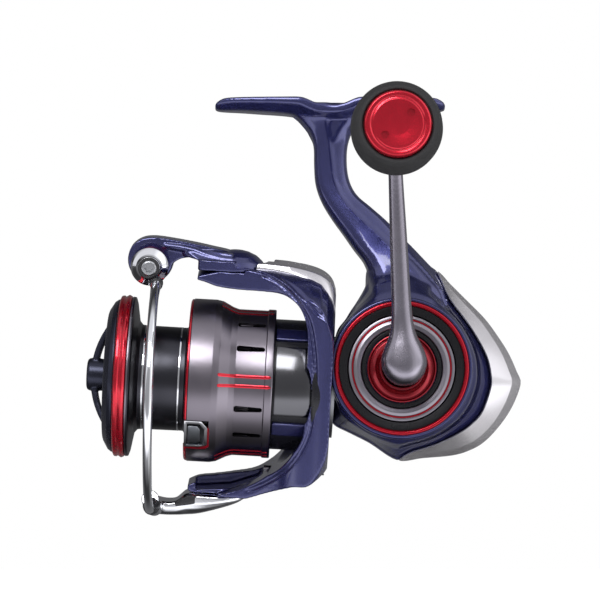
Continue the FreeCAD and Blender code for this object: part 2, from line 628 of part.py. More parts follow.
# ------------------------------------------------------------------ rotor and bail
def rotor():
    """The rotor: a drum with a rear flange, and two arms left from a bell by a large window."""
    drum = turned("rotor_drum", [
        (dim.rotor_rear, dim.rotor_bore), (dim.rotor_rear, dim.rotor_flange),
        (dim.band_front, dim.rotor_flange - 0.4), (dim.band_front, dim.rotor_drum), (dim.drum_front, dim.rotor_drum), (dim.drum_front, dim.rotor_bore),
        (dim.rotor_front, dim.rotor_bore), (dim.rotor_front, 3.02), (dim.rotor_wall, 3.02),
        (dim.rotor_wall, dim.rotor_bore)])
    outer = dim.arm_outer
    bell = turned("rotor_bell", [
        (dim.rotor_rear, 18.4), (dim.rotor_rear, 24.5), (20.5, 28.6), (24.0, 31.4), (30.0, outer - 0.4),
        (38.0, outer), (48.0, outer), (dim.arm_front, outer - 1.6), (dim.arm_front, dim.arm_inner),
        (43.6, dim.arm_inner - 0.2), (42.4, 22.2), (29.0, 21.4), (25.0, 20.2), (23.0, 18.4)])
    half = dim.arm_half
    mask = padded("arm_mask", "XY_Plane", [
        (18, -21), (25, -20), (31, -14.5), (38, -10), (43, -half), (57, -half),
        (57, half), (43, half), (38, 10), (31, 14.5), (25, 20), (18, 21)], 80, -40)
    window = padded("arm_window", "XZ_Plane", [
        (23.9, -10), (25.2, -13), (29.2, -18.5), (35.6, -23.6), (42, -24.6), (70, -24.6), (70, 24.6),
        (36, 24.6), (31.2, 22.8), (27.0, 18), (24.4, 10)], 80, -40)
    relief = padded("lower_relief", "XZ_Plane", [
        (18, -21.3), (23.8, -25.6), (28.5, -26.9), (40.6, -32.0), (49, -34), (49, -45), (18, -45)], 80, -40)
    arms = cut("rotor_arms", common("bell_arms", [bell, mask]), [window, relief])
    ear, pivot = dim.ear_height, dim.pivot_station
    sweep = common("ear_sweep", [upright("ear_sweep_disc", ear, 45, 11.8, pivot),
                                 box("ear_sweep_side", (20, 80), (-30, 0), (0, 60))])
    tools = [
        box("ear_front", (pivot, 80), (-20, 20), (ear, 50)),
        upright("ear_seat", ear, 45, dim.lever_hub + 0.3, pivot), sweep,
        upright("ear_bore", 20, 45, dim.pivot_radius + 0.02, pivot),
        upright("spring_pocket", 24.4, ear, 4.6, pivot),
        upright("holder_bore", -45, -20, dim.pivot_radius + 0.02, pivot),
        along("trip_rod_bore", 15, 40, 1.05, 0, -23.9, ROW),
    ]
    keep(cut("rotor", fused("rotor_solid", [drum, arms]), tools), "rotor", ROTOR)
    keep(turned("rotor_nut", [(33.05, 3.02), (33.05, 5.2), (35.6, 5.2), (36.0, 4.8), (36.0, 3.02)]),
         "rotor_nut", ROTOR)
    keep(ring("bail_spring_post", 24.5, 29.0, 2.0, dim.pivot_radius + 0.02), "bail_spring_post",
         ROTOR + " * " + place(dim.pivot_station, 0, 0, ALONG_Y, -90))
    helix = Part.makeHelix(0.95, 3.8, 3.4)
    helix.Placement = FreeCAD.Placement(V(0, 0, 24.95), FreeCAD.Rotation())
    coil = Part.Wire(helix.Edges).makePipeShell(
        [Part.Wire(Part.makeCircle(0.35, V(3.4, 0, 24.95), V(0, 1, 0)))], True, True)
    keep(solid_feature("bail_spring", coil), "bail_spring", ROTOR + " * " + place(dim.pivot_station))
    keep(along("trip_rod", dim.rotor_rear + 0.4, 36, 1.0), "bail_trip_rod",
         ROTOR + " * " + place(dim.rotor_rear + 0.4, 0, -23.9, ALONG_Y, 90))


def bail():
    pivot, hub = dim.pivot_station, dim.lever_hub
    station, height = dim.roller_station, dim.roller_height
    floor = dim.ear_height + 0.2
    plate = upright("lever_disc", floor, dim.lever_top - 2.4, hub, pivot)
    crown = upright("lever_crown", floor, dim.lever_top, 5.2, pivot)
    block = common("lever_block", [
        box("lever_block_stock", (pivot, pivot + 10.4), (-5, 5), (floor, dim.lever_top - 0.4)),
        upright("lever_block_round", floor, 45, 10.4, pivot)])
    link = padded("lever_link", "XZ_Plane", [
        (pivot + 6, dim.link_floor), (pivot + 12, dim.link_floor), (pivot + 16, dim.link_floor - 0.3),
        (station - 5.2, height - 2), (station, height - 5.5), (station + 5, height - 1),
        (station + 5.6, height + 3),
        (station + 3, height + 5.6), (station - 1, height + 6.6), (pivot + 14, height + 6),
        (pivot + 6, 36)], 6.4, -2.9)
    head = cross("lever_head", -3.5, 2.9, dim.head_radius, station, height + 0.4)
    tools = [cross("lever_screw_bore", -2.5, 10, 1.22, station, height),
             upright("lever_pivot_bore", 20, 50, dim.pivot_radius + dim.slip, pivot)]
    arm = fused("bail_arm_solid", [plate, crown, block, link, head])
    keep(cut("bail_arm", arm, tools), "bail_arm", ROTOR)
    head_frame = ROTOR + " * " + place(station, 0, height, UPRIGHT, 90)
    size = dim.roller_radius
    keep(turned("line_roller", [
        (3.2, 2.05), (3.2, size + 0.5), (4.0, size + 0.5), (5.2, size - 0.5), (6.2, size - 0.5),
        (7.6, size + 0.6),
        (8.4, size + 0.6), (8.4, 2.05)]), "line_roller", head_frame)
    keep(ring("line_roller_bearing", 3.3, 8.3, 2.0, 1.3), "line_roller_bearing", head_frame)
    keep(turned("bail_wire_cap", [
        (8.7, 1.3), (8.7, 5.2), (9.4, 5.2), (10.6, 4.2), (11.6, 2.8), (12.6, 2.8), (12.6, 1.3)]),
        "bail_wire_cap", head_frame)
    keep(turned("line_roller_screw", [
        (-2.4, 0), (-2.4, 1.2), (12.65, 1.2), (12.65, 2.2), (13.3, 2.2), (13.6, 1.9), (13.6, 1.1),
        (12.9, 0.9),
        (12.9, 0)]), "line_roller_screw", head_frame)
    reach = dim.wire_reach.value
    start, middle, end = V(67.6, 10.6, 28.0), V(67.0, reach, -1.5), V(66.2, 7.0, -33.6)
    arc = Part.Arc(start, middle, end)
    first = arc.tangent(arc.FirstParameter)[0]
    wire = Part.Wire(arc.toShape()).makePipeShell(
        [Part.Wire(Part.makeCircle(dim.wire_radius.value, start, first))], True, False)
    keep(solid_feature("bail_wire", wire), "bail_wire", ROTOR)
    base = padded("holder_link", "XZ_Plane", [
        (pivot - 4, -33.1), (pivot + 6, -33.1), (pivot + 10, -33.6), (62, -35.6), (62, -38.2), (56, -38.2),
        (pivot + 4, -36.2), (pivot - 4, -35.0)], 7, -3.5)
    pad = upright("holder_disc", -35.4, -33.1, 6.0, pivot)
    socket = upright("holder_socket", -38.0, -31.6, 2.6, 65.6, 5.6)
    bridge = box("holder_bridge", (60, 66), (-2, 7), (-38.0, -34.6))
    keep(cut("bail_holder", fused("bail_holder_solid", [base, pad, socket, bridge]), [
        upright("holder_pivot_bore", -50, -20, dim.pivot_radius + dim.slip, pivot),
        upright("holder_screw_seat", -50, -35.4, 3.15, pivot)]), "bail_holder", ROTOR)
    arm_seat, arm_top = dim.lever_top + 0.05, dim.lever_top + 0.9
    screws = [fused("arm_pivot_screw", [upright("arm_pivot_shank", 24.6, arm_seat, dim.pivot_radius),
                                        upright("arm_pivot_head", arm_seat, arm_top, 3.0)]),
              fused("holder_pivot_screw", [upright("holder_pivot_shank", -35.45, -25.2, dim.pivot_radius),
                                           upright("holder_pivot_head", -36.3, -35.45, 3.0)])]
    keep(group("pivot_screws", screws), "bail_pivot_screws", ROTOR + " * " + place(pivot))


# ------------------------------------------------------------------ spool and drag
def spool():
    rear, slim, wide, wall = dim.spool_rear, dim.skirt_slim, dim.skirt_wide, dim.skirt_wall
    front, arbor = dim.arbor_front, dim.arbor_radius
    body = turned("spool_shell", [
        (dim.hub_rear, dim.spool_bearing + 0.02), (dim.hub_rear, dim.hub_radius), (66.0, dim.hub_radius),
        (66.0, arbor - 1.4), (57.2, arbor - 1.4), (57.2, wide - wall), (50.1, wide - wall),
        (45.6, slim - wall),
        (rear, slim - wall), (rear, slim + 0.1), (rear + 0.8, slim), (45.6, slim), (50.1, wide),
        (dim.skirt_front, wide), (58.3, wide - 0.6), (58.3, arbor - 0.1), (front, arbor + 0.2),
        (72.6, arbor + 1.4),
        (73.1, 22.2), (dim.lip_rear, 22.2), (dim.lip_rear, dim.nose_radius - 0.7),
        (dim.lip_front, dim.nose_radius - 0.7),
        (dim.lip_front, dim.drag_radius + 5.2), (78.6, dim.drag_radius + 5.2), (78.6, dim.drag_radius),
        (dim.drag_floor, dim.drag_radius), (dim.drag_floor, dim.spool_bearing + 0.02)])
    slots = []
    for side in (1, -1):
        middle = dim.slot_offset * side
        sketch = body_sketch(body, "slot_outline", "XZ_Plane", [
            (dim.slot_rear, middle - dim.slot_width * 0.36), (dim.slot_front, middle - dim.slot_width / 2),
            (dim.slot_front, middle + dim.slot_width / 2), (dim.slot_rear, middle + dim.slot_width * 0.36)], -24)
        slot = body.newObject("PartDesign::Pocket", "slot")
        slot.Profile = sketch
        slot.Length = 6
        slot.Reversed = True
        slots.append(slot)
    pattern = body.newObject("PartDesign::PolarPattern", "slots")
    pattern.Originals = slots
    pattern.Axis = (next(item for item in body.Origin.OriginFeatures if item.Role == "X_Axis"), [""])
    pattern.Angle = 360
    bind(pattern, "Occurrences", dim.slot_pairs)
    body.Tip = pattern
    move(body, place(axis=ALONG_X, angle=36))
    clip_turn = place(axis=ALONG_X, angle=-46)
    window = box("clip_window", (52.2, 56.2), (18, 30), (-4.6, 4.6), clip_turn)
    keep(cut("spool", body, [window]), "spool", SPOOL)
    keep(box("clip_lever", (52.5, 55.9), (21.0, 22.45), (-4.2, 4.2)), "line_clip",
         SPOOL + " * " + clip_turn + " * " + place(52.5, 21.0, -4.2))
    radius = dim.lip_radius
    keep(turned("spool_lip_ring", [
        (dim.lip_rear + 0.02, dim.nose_radius - 0.65), (dim.lip_rear + 0.02, radius - 0.9),
        (dim.lip_rear + 0.9, radius),
        (dim.lip_front - 1.0, radius), (dim.lip_front - 0.05, radius - 0.8),
        (dim.lip_front - 0.05, dim.nose_radius - 0.65)]), "spool_lip_ring", SPOOL)
    inner = dim.drag_radius + 5.3
    keep(turned("spool_front_ring", [
        (dim.lip_front + 0.02, inner), (dim.lip_front + 0.02, dim.nose_radius), (79.3, dim.nose_radius),
        (dim.nose_front, inner + 0.9), (dim.nose_front, inner)]), "spool_front_ring", SPOOL)
    bearing = dim.spool_bearing
    bearings = [ring("spool_bearing_ring", start, start + 2.4, bearing, dim.shaft_radius + dim.slip)
                for start in (48.1, 64.4)]
    keep(group("bearings", bearings), "spool_bearings", SPOOL)
    washers = []
    for start in (dim.drag_floor.value + 0.05, dim.drag_floor.value + 2.4, dim.drag_floor.value + 5.0):
        felt = Part.makeCylinder(10.7, 1.2 if start < 68 else 1.4, V(start, 0, 0), V(1, 0, 0))
        washers.append(felt.cut(Part.makeCylinder(2.4, 4, V(start - 1, 0, 0), V(1, 0, 0))))
    keep(solid_feature("drag_friction_washers", Part.makeCompound(washers)), "drag_friction_washers", SPOOL)
    keep(ring("drag_retainer_ring", 75.0, 75.6, dim.drag_radius - 0.03, 9.6), "drag_retainer_ring", SPOOL)


def drag_knob():
    """The drag knob: a hub on a bridge of two curved arms that stands on a flat ring."""
    hub, ring_radius = dim.knob_hub, dim.knob_ring
    head = turned("knob_head", [
        (79.0, 2.85), (79.0, hub), (85.6, hub), (dim.knob_hub_front, hub - 0.6), (dim.knob_hub_front, 0),
        (83.6, 0),
        (83.6, 2.85)])
    rim = ring("knob_rim", 78.75, 80.2, ring_radius, ring_radius - 3)
    bridge = padded("knob_bridge", "XZ_Plane", [
        (79.0, -15.4), (80.6, -15.4), (83.6, -11), (85.2, -4), (85.2, 4), (83.6, 11), (80.6, 15.4),
        (79.0, 15.4),
        (79.0, 13.2), (81.6, 10), (83.6, 4), (83.6, -4), (81.6, -10), (79.0, -13.2)], 5.0, -2.5)
    tools = [along("knob_inner", 70, 83.6, 2.85, frame=ROW)]
    keep(cut("drag_knob", fused("drag_knob_solid", [head, rim, bridge]), tools), "drag_knob", SPOOL)
    keep(ring("drag_nut", 77.4, 79.6, 2.8, dim.shaft_radius + 0.04), "drag_nut", SPOOL)
    keep(turned("drag_pressure_plate", [
        (75.7, dim.shaft_radius + 0.04), (75.7, 8.6), (76.5, 8.6), (76.5, 4.5), (77.0, 4.5),
        (77.0, dim.shaft_radius + 0.04)]), "drag_pressure_plate", SPOOL)


# ------------------------------------------------------------------ handle
def handle():
    keep(turned("handle_shaft", [
        (9.4, 0), (9.4, 2.4), (16.7, 2.4), (16.7, 4.6), (22.0, 4.6), (22.0, 4.2), (30.5, 4.2), (30.5, 0)]),
        "handle_shaft", CRANK)
    keep(turned("handle_collar", [
        (20.6, 4.65), (17.6, 4.65), (17.6, 9.4), (20.6, 9.4), (21.2, 8.6), (22.2, 7.4), (23.6, 6.6),
        (25.2, 6.2),
        (25.2, 5.5), (22.4, 5.5), (22.4, 4.65)]), "handle_collar", CRANK)
    dome = turned("arm_root", [
        (26.0, 4.25), (26.0, 5.2), (34.0, 5.2), (38.5, 5.0), (40.6, 4.0), (41.6, 2.4), (41.8, 0), (30.6, 0),
        (30.6, 4.25)])
    sections = []
    for height, radius, reach in ((1.0, 4.9, 36.0), (5.0, 4.1, 36.6), (8.5, 3.1, 37.2), (13, 2.75, 37.9),
                                  (30, 2.45, 40.6), (46, 2.05, 43.8), (57, 1.85, 46.0), (60.5, 1.8, 46.6)):
        section = doc.addObject("Part::Circle", "arm_section")
        section.Radius = radius
        sections.append(move(section, place(reach, 0, height)))
    loft = doc.addObject("Part::Loft", "arm_loft")
    loft.Sections = sections
    loft.Solid = True
    boss = disc("arm_boss", 43.6, 49.6, 3.1, z=dim.crank_radius)
    keep(fused("handle_arm", [dome, loft, boss]), "handle_arm", CRANK)
    keep(turned("knob_post", [
        (49.65, 0), (49.65, 2.6), (50.6, 2.6), (50.6, dim.post_radius), (70.4, dim.post_radius), (70.4, 0)]),
        "knob_post", KNOB)
    keep(ring("knob_sleeve", 50.8, 70.0, 3.4, dim.post_radius + dim.slip), "knob_sleeve", KNOB)
    keep(turned("knob_screw", [(70.45, 0), (70.45, 2.6), (71.3, 2.6), (71.3, 0)]), "knob_screw", KNOB)
    radius, cap = dim.grip_radius, dim.cap_radius
    keep(turned("knob_grip", [
        (dim.grip_inner, 3.42), (dim.grip_inner, 5.6), (53.0, 8.6), (56.0, 10.8), (60.0, radius - 0.2),
        (64.0, radius),
        (68.0, radius - 0.3), (71.0, radius - 1.1), (72.6, radius - 2.0), (dim.grip_outer, cap + 0.4),
        (dim.grip_outer - 0.2, cap + 0.05), (71.6, cap + 0.05), (71.6, 3.42)]), "knob_grip", KNOB)
    keep(turned("knob_cap", [
        (71.65, 0), (71.65, cap), (73.6, cap), (74.4, cap - 0.8), (74.4, 6.2), (74.1, 5.9), (74.1, 5.5),
        (74.4, 5.2),
        (74.4, 0)]), "knob_cap", KNOB)


def check_and_write():
    """Stop on any failed object, then write one file for each sub-part."""
    doc.recompute()
    for item in doc.Objects:
        if "Invalid" in item.State or "Error" in item.State:
            raise RuntimeError(f"{item.Name} failed: {item.State}")
    os.makedirs("parts", exist_ok=True)
    for item in pieces:
        shape = item.Shape
        if shape.isNull() or not shape.isValid() or not shape.Solids:
            raise RuntimeError(f"{item.Label} has no valid solid")
        shape.exportStep(f"parts/{item.Label}.step")


main_body()
casing()
drive_train()
shaft_and_slider()
rotor()
bail()
spool()
drag_knob()
handle()
check_and_write()
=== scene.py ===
"""A spinning reel: metal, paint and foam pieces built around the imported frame."""
import json
import math

import bmesh
import bpy
from mathutils import Matrix, Vector

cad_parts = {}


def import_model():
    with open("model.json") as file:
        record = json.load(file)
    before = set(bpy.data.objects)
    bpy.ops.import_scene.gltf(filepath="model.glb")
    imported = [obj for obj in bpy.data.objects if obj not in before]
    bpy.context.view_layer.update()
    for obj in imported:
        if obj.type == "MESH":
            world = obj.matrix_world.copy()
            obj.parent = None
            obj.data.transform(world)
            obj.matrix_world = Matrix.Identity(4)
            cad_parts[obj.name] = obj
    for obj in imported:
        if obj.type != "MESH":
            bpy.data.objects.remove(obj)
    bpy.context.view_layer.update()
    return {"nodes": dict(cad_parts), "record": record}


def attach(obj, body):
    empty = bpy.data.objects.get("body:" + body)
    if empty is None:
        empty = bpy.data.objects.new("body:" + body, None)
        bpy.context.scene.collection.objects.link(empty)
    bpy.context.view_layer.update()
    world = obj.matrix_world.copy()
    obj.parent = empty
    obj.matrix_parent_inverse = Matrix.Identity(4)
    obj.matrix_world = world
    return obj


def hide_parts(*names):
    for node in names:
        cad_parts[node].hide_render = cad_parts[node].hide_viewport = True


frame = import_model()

MM = 0.001
WELD = 1e-4


# ------------------------------------------------------------------ frames (mm)
def turn(degrees, axis):
    return Matrix.Rotation(math.radians(degrees), 4, axis)


def shift(x, y, z):
    return Matrix.Translation((x, y, z))


ROW = Matrix.Identity(4)
SPOOL = shift(-18.72, 0, -81.29) @ turn(-3.1, "Y")
ROTOR = SPOOL @ turn(-12, "X")
LEVEL = SPOOL @ shift(0, 0, 5.2) @ turn(3.1, "Y")
SIDE = LEVEL @ turn(90, "Z")
CRANK = LEVEL @ turn(2.8, "Y") @ turn(90, "Z")
KNOB = CRANK @ shift(0, 0, 59.5)
HEAD = ROTOR @ shift(69.9, 0, 32.0) @ turn(90, "Z")


# ------------------------------------------------------------------ materials
def nodes_of(material):
    material.use_nodes = True
    tree = material.node_tree
    return tree, tree.nodes["Principled BSDF"]


def add(tree, kind, **values):
    node = tree.nodes.new(kind)
    for key, value in values.items():
        if key in node.inputs:
            node.inputs[key].default_value = value
        else:
            setattr(node, key, value)
    return node


def feed(tree, value, socket):
    """Link an output to a socket, or set the socket to a number or a colour."""
    if isinstance(value, bpy.types.NodeSocket):
        tree.links.new(value, socket)
    else:
        socket.default_value = value


def calculate(tree, operation, *values):
    node = add(tree, "ShaderNodeMath", operation=operation)
    for value, socket in zip(values, node.inputs):
        feed(tree, value, socket)
    return node.outputs[0]


def mixed(tree, first, second, factor=1.0, **values):
    """Two colours blended by a factor, or added where blend_type says so."""
    node = add(tree, "ShaderNodeMix", data_type="RGBA", **values)
    for key, value in (("A", first), ("B", second), ("Factor", factor)):
        feed(tree, value, node.inputs[key])
    return node.outputs["Result"]


def remapped(tree, value, **values):
    """A value moved from one range to another, each of which is 0 to 1 unless given."""
    node = add(tree, "ShaderNodeMapRange")
    for key, level in values.items():
        node.inputs[key.replace("_", " ")].default_value = level
    tree.links.new(value, node.inputs["Value"])
    return node.outputs["Result"]


def textured(tree, kind, where, output, **values):
    node = add(tree, kind, **values)
    tree.links.new(where, node.inputs["Vector"])
    return node.outputs[output]


def raised(tree, height, normal, strength, distance):
    """A bump by height, on top of the normal of an earlier one if there is one."""
    bump = add(tree, "ShaderNodeBump", Strength=strength, Distance=distance)
    tree.links.new(height, bump.inputs["Height"])
    if normal:
        tree.links.new(normal, bump.inputs["Normal"])
    return bump.outputs[0]


def coordinates(tree, axis_frame):
    """Object coordinates in millimetres, in a piece's own frame."""
    place = add(tree, "ShaderNodeTexCoord")
    inverse = axis_frame.inverted() @ Matrix.Scale(1000, 4)
    join = add(tree, "ShaderNodeCombineXYZ")
    parts = []
    for row, socket in zip(inverse, join.inputs):
        dot = add(tree, "ShaderNodeVectorMath", operation="DOT_PRODUCT")
        dot.inputs[1].default_value = row[:3]
        tree.links.new(place.outputs["Object"], dot.inputs[0])
        part = calculate(tree, "ADD", dot.outputs["Value"], row[3])
        tree.links.new(part, socket)
        parts.append(part)
    return join.outputs[0], parts


def surface(name, color, metallic=0.0, roughness=0.4, coat=0.0, grain=0.0, grain_size=0.5, mottle=0.06,
            smudge=0.08, turned=ROW, groove=0.0, flakes=0.0, bands=()):
    """A finish with tone variation, patchy roughness and fine relief.

    turned is the frame of a lathe-turned piece, which groove gives fine rings about its x axis.
    bands are (first, last, colour) stations along that axis, in millimetres.
    """
    material = bpy.data.materials.new(name)
    tree, shader = nodes_of(material)
    links = tree.links
    shader.inputs["Metallic"].default_value = metallic
    shader.inputs["Coat Weight"].default_value = coat
    shader.inputs["Coat Roughness"].default_value = 0.06
    where, (along, across, up) = coordinates(tree, turned)
    patches = textured(tree, "ShaderNodeTexNoise", where, "Fac", Scale=0.22, Detail=4.0)
    darker = [c * (1 - mottle) for c in color] + [1]
    paler = [min(1, c * (1 + mottle)) for c in color] + [1]
    colour = mixed(tree, darker, paler, patches)
    if flakes:
        cells = textured(tree, "ShaderNodeTexVoronoi", where, "Color", Scale=9.0)
        spark = add(tree, "ShaderNodeSeparateColor")
        links.new(cells, spark.inputs[0])
        level = calculate(tree, "MULTIPLY", spark.outputs[0], flakes)
        colour = mixed(tree, colour, level, blend_type="ADD")
    for first, last, tint in bands:
        above = calculate(tree, "GREATER_THAN", along, first)
        below = calculate(tree, "LESS_THAN", along, last)
        colour = mixed(tree, colour, [*tint, 1], calculate(tree, "MULTIPLY", above, below))
    links.new(colour, shader.inputs["Base Color"])
    worn = remapped(tree, patches, To_Min=max(0.02, roughness - smudge), To_Max=min(1.0, roughness + smudge))
    links.new(worn, shader.inputs["Roughness"])
    normal = None
    if groove:
        squares = calculate(tree, "MULTIPLY", across, across), calculate(tree, "MULTIPLY", up, up)
        radius = calculate(tree, "SQRT", calculate(tree, "ADD", *squares))
        rings = add(tree, "ShaderNodeCombineXYZ")
        links.new(along, rings.inputs[0])
        links.new(radius, rings.inputs[1])
        lines = textured(tree, "ShaderNodeTexNoise", rings.outputs[0], "Fac", Scale=6.0, Detail=2.0)
        normal = raised(tree, lines, None, groove, GROOVE_DEPTH)
    if grain:
        specks = textured(tree, "ShaderNodeTexNoise", where, "Fac", Scale=1 / grain_size, Detail=3.0)
        normal = raised(tree, specks, normal, grain, GRAIN_DEPTH)
    if normal:
        links.new(normal, shader.inputs["Normal"])
    return material


GROOVE_DEPTH = 0.00002
GRAIN_DEPTH = 0.0001


NAVY = (0.020, 0.022, 0.105)
RED = (0.50, 0.006, 0.022)
paint = surface("navy_paint", NAVY, metallic=0.75, roughness=0.22, coat=1.0, grain=0.008, grain_size=0.3,
                flakes=0.012)
rotor_paint = surface("rotor_navy_paint", NAVY, metallic=0.75, roughness=0.24, coat=1.0, grain=0.008,
                      grain_size=0.3, flakes=0.012)
chrome = surface("polished_chrome", (0.80, 0.81, 0.84), metallic=1.0, roughness=0.07, smudge=0.03, grain=0.01,
                 grain_size=0.6)
black = surface("black_plastic", (0.010, 0.010, 0.012), roughness=0.42, grain=0.10, grain_size=0.12)
black_ring = surface("black_anodised_ring", (0.012, 0.012, 0.014), metallic=0.6, roughness=0.28, turned=SIDE,
                     groove=0.15)
silver_ring = surface("spun_silver", (0.29, 0.275, 0.31), metallic=1.0, roughness=0.34, smudge=0.04,
                      turned=SIDE, groove=0.25)
red_side = surface("red_anodised_side", RED, metallic=0.9, roughness=0.2, turned=SIDE, groove=0.2, coat=0.5)
# The dish's red is a darker copy of the red anodised side: painted shade of the concave dish.
red_dish_painted_shade = surface("red_anodised_dish_painted_shade", (0.24, 0.004, 0.012), metallic=0.9, roughness=0.22, turned=SIDE,
                   groove=0.15, coat=0.5)
red_spool = surface("red_anodised_spool", RED, metallic=0.85, roughness=0.18, turned=SPOOL, groove=0.2,
                    coat=0.6)
red_knob = surface("red_anodised_knob", RED, metallic=0.85, roughness=0.2, turned=KNOB, groove=0.2, coat=0.6)
gunmetal = surface("gunmetal_skirt", (0.22, 0.20, 0.23), metallic=1.0, roughness=0.30, smudge=0.04,
                   turned=SPOOL, groove=0.2, bands=((58.6, 74.0, (0.055, 0.055, 0.065)),))
arm_metal = surface("gunmetal_arm", (0.31, 0.29, 0.34), metallic=1.0, roughness=0.27, smudge=0.04,
                    grain=0.008, grain_size=0.4)
steel = surface("ground_steel", (0.45, 0.46, 0.48), metallic=1.0, roughness=0.28, grain=0.05, grain_size=0.2)
brass = surface("machined_brass", (0.55, 0.40, 0.16), metallic=1.0, roughness=0.3, grain=0.05,
                grain_size=0.25)
alloy = surface("die_cast_alloy", (0.40, 0.41, 0.43), metallic=1.0, roughness=0.42, grain=0.15,
                grain_size=0.25)
foam = surface("knob_foam", (0.012, 0.012, 0.013), roughness=0.85, smudge=0.05, grain=0.55, grain_size=0.22,
               mottle=0.25)
felt = surface("friction_felt", (0.10, 0.09, 0.085), roughness=0.95, grain=0.6, grain_size=0.3, mottle=0.2)
dark_front = surface("dark_front_ring", (0.030, 0.032, 0.050), metallic=0.85, roughness=0.28, turned=SPOOL,
                     groove=0.3)

red_roller = surface("red_anodised_roller", (0.30, 0.006, 0.012), metallic=0.9, roughness=0.22, turned=HEAD,
                     groove=0.2)
silver_clip = surface("satin_clip", (0.32, 0.34, 0.37), metallic=1.0, roughness=0.32, grain=0.05,
                      grain_size=0.2)
drum_panel = surface("drum_panel", (0.13, 0.13, 0.14), metallic=1.0, roughness=0.16, smudge=0.03,
                     turned=SPOOL, groove=0.1)
drum_black = surface("drum_black", (0.008, 0.008, 0.011), metallic=0.3, roughness=0.25, turned=SPOOL,
                     groove=0.1)
cover_metal = surface("pale_satin_cover", (0.60, 0.585, 0.61), metallic=0.9, roughness=0.24, smudge=0.05,
                      grain=0.02, grain_size=0.5)

SLOTS = {
    "body_paint": paint, "rotor_paint": rotor_paint, "cover_chrome": cover_metal, "black_plastic": black,
    "silver_ring": silver_ring, "red_anodised": red_side, "gunmetal": gunmetal, "handle_metal": arm_metal,
    "bail_chrome": chrome, "steel": steel, "brass": brass, "gear_alloy": alloy, "grip_foam": foam,
    "friction_felt": felt, "front_ring": dark_front,
}


def finish_frame():
    """Give every CAD node the procedural finish of its slot."""
    slots = {item["node"]: item["material_slot"] for item in frame["record"]["subparts"]}
    for name, node in frame["nodes"].items():
        for index in range(len(node.material_slots)):
            node.material_slots[index].material = SLOTS[slots[name]]


finish_frame()


# ------------------------------------------------------------------ mesh tools
NEARLY_STRAIGHT = math.radians(176)
ROUNDING_STEPS = 3


def wrap(name, mesh, material, body, replaced=(), sharp=34):
    """Make a mesh into a piece of the reel."""
    for polygon in mesh.polygons:
        polygon.use_smooth = True
    mesh.set_sharp_from_angle(angle=math.radians(sharp))
    mesh.materials.clear()
    mesh.materials.append(material)
    piece = bpy.data.objects.new(name, mesh)
    bpy.context.collection.objects.link(piece)
    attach(piece, body)
    if replaced:
        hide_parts(*replaced)


def to_mesh(name, verts, faces, place=ROW):
    """A closed, outward-facing mesh in metres from points in millimetres."""
    work = bmesh.new()
    made = [work.verts.new(place @ Vector(v)) for v in verts]
    for face in faces:
        corners = []
        for index in face:
            if made[index] not in corners:
                corners.append(made[index])
        if len(corners) > 2:
            work.faces.new(corners)
    bmesh.ops.remove_doubles(work, verts=work.verts, dist=WELD)
    bmesh.ops.dissolve_degenerate(work, edges=work.edges, dist=WELD / 10)
    bmesh.ops.recalc_face_normals(work, faces=work.faces)
    bmesh.ops.scale(work, vec=(MM, MM, MM), verts=work.verts)
    mesh = bpy.data.meshes.new(name)
    work.to_mesh(mesh)
    work.free()
    return mesh


def rounded(points, radius):
    """A closed outline with each corner rounded. A third value sets a corner's own radius.

    Corners on the axis stay sharp unless they have a radius of their own.
    """
    out = []
    count = len(points)
    for i, point in enumerate(points):
        own = point[2] if len(point) > 2 else radius
        here = Vector(point[:2])
        back = Vector(points[i - 1][:2]) - here
        ahead = Vector(points[(i + 1) % count][:2]) - here
        if own <= 0 or back.length < 1e-6 or ahead.length < 1e-6:
            out.append(tuple(here))
            continue
        angle = back.angle(ahead)
        if angle > NEARLY_STRAIGHT or (here.y == 0 and own == radius):
            out.append(tuple(here))
            continue
        cut_back = min(own / math.tan(angle / 2), 0.45 * back.length, 0.45 * ahead.length)
        start = here + back.normalized() * cut_back
        end = here + ahead.normalized() * cut_back
        for step in range(ROUNDING_STEPS + 1):
            t = step / ROUNDING_STEPS
            out.append(tuple(start * (1 - t) ** 2 + here * 2 * t * (1 - t) + end * t ** 2))
    return out


def ring_faces(rows, count, closed_rows=True):
    """Quads between neighbouring rings of equal length."""
    faces = []
    last = rows if closed_rows else rows - 1
    for row in range(last):
        following = (row + 1) % rows
        for i in range(count):
            j = (i + 1) % count
            faces.append((row * count + i, row * count + j, following * count + j, following * count + i))
    return faces


def lathe_mesh(name, profile, place, rounding, segments):
    """A closed (axial, radius) outline turned round the x axis of its place."""
    points = rounded(profile, rounding) if rounding else profile
    verts = []
    for x, r in points:
        for i in range(segments):
            a = 2 * math.pi * i / segments
            verts.append((x, r * math.cos(a), r * math.sin(a)))
    return to_mesh(name, verts, ring_faces(len(points), segments), place)


def lathe(name, profile, place, material, body, replaced=(), rounding=0.2, segments=128, sharp=34):
    """A turned piece of the reel."""
    wrap(name, lathe_mesh(name, profile, place, rounding, segments), material, body, replaced, sharp)


def spline(points, per_span=8, closed=False):
    """A Catmull-Rom curve through points of any dimension."""
    points = [Vector(p) for p in points]
    count = len(points)
    out = []
    for i in range(count if closed else count - 1):
        if closed:
            p0, p1, p2, p3 = (points[(i + k) % count] for k in (-1, 0, 1, 2))
        else:
            p1, p2 = points[i], points[i + 1]
            p0 = points[i - 1] if i else p1 * 2 - p2
            p3 = points[i + 2] if i + 2 < count else p2 * 2 - p1
        for step in range(per_span):
            t = step / per_span
            out.append(0.5 * (p1 * 2 + (p2 - p0) * t + (p0 * 2 - p1 * 5 + p2 * 4 - p3) * t * t
                              + (p1 * 3 - p0 - p2 * 3 + p3) * t ** 3))
    if not closed:
        out.append(points[-1])
    return [tuple(point) for point in out]


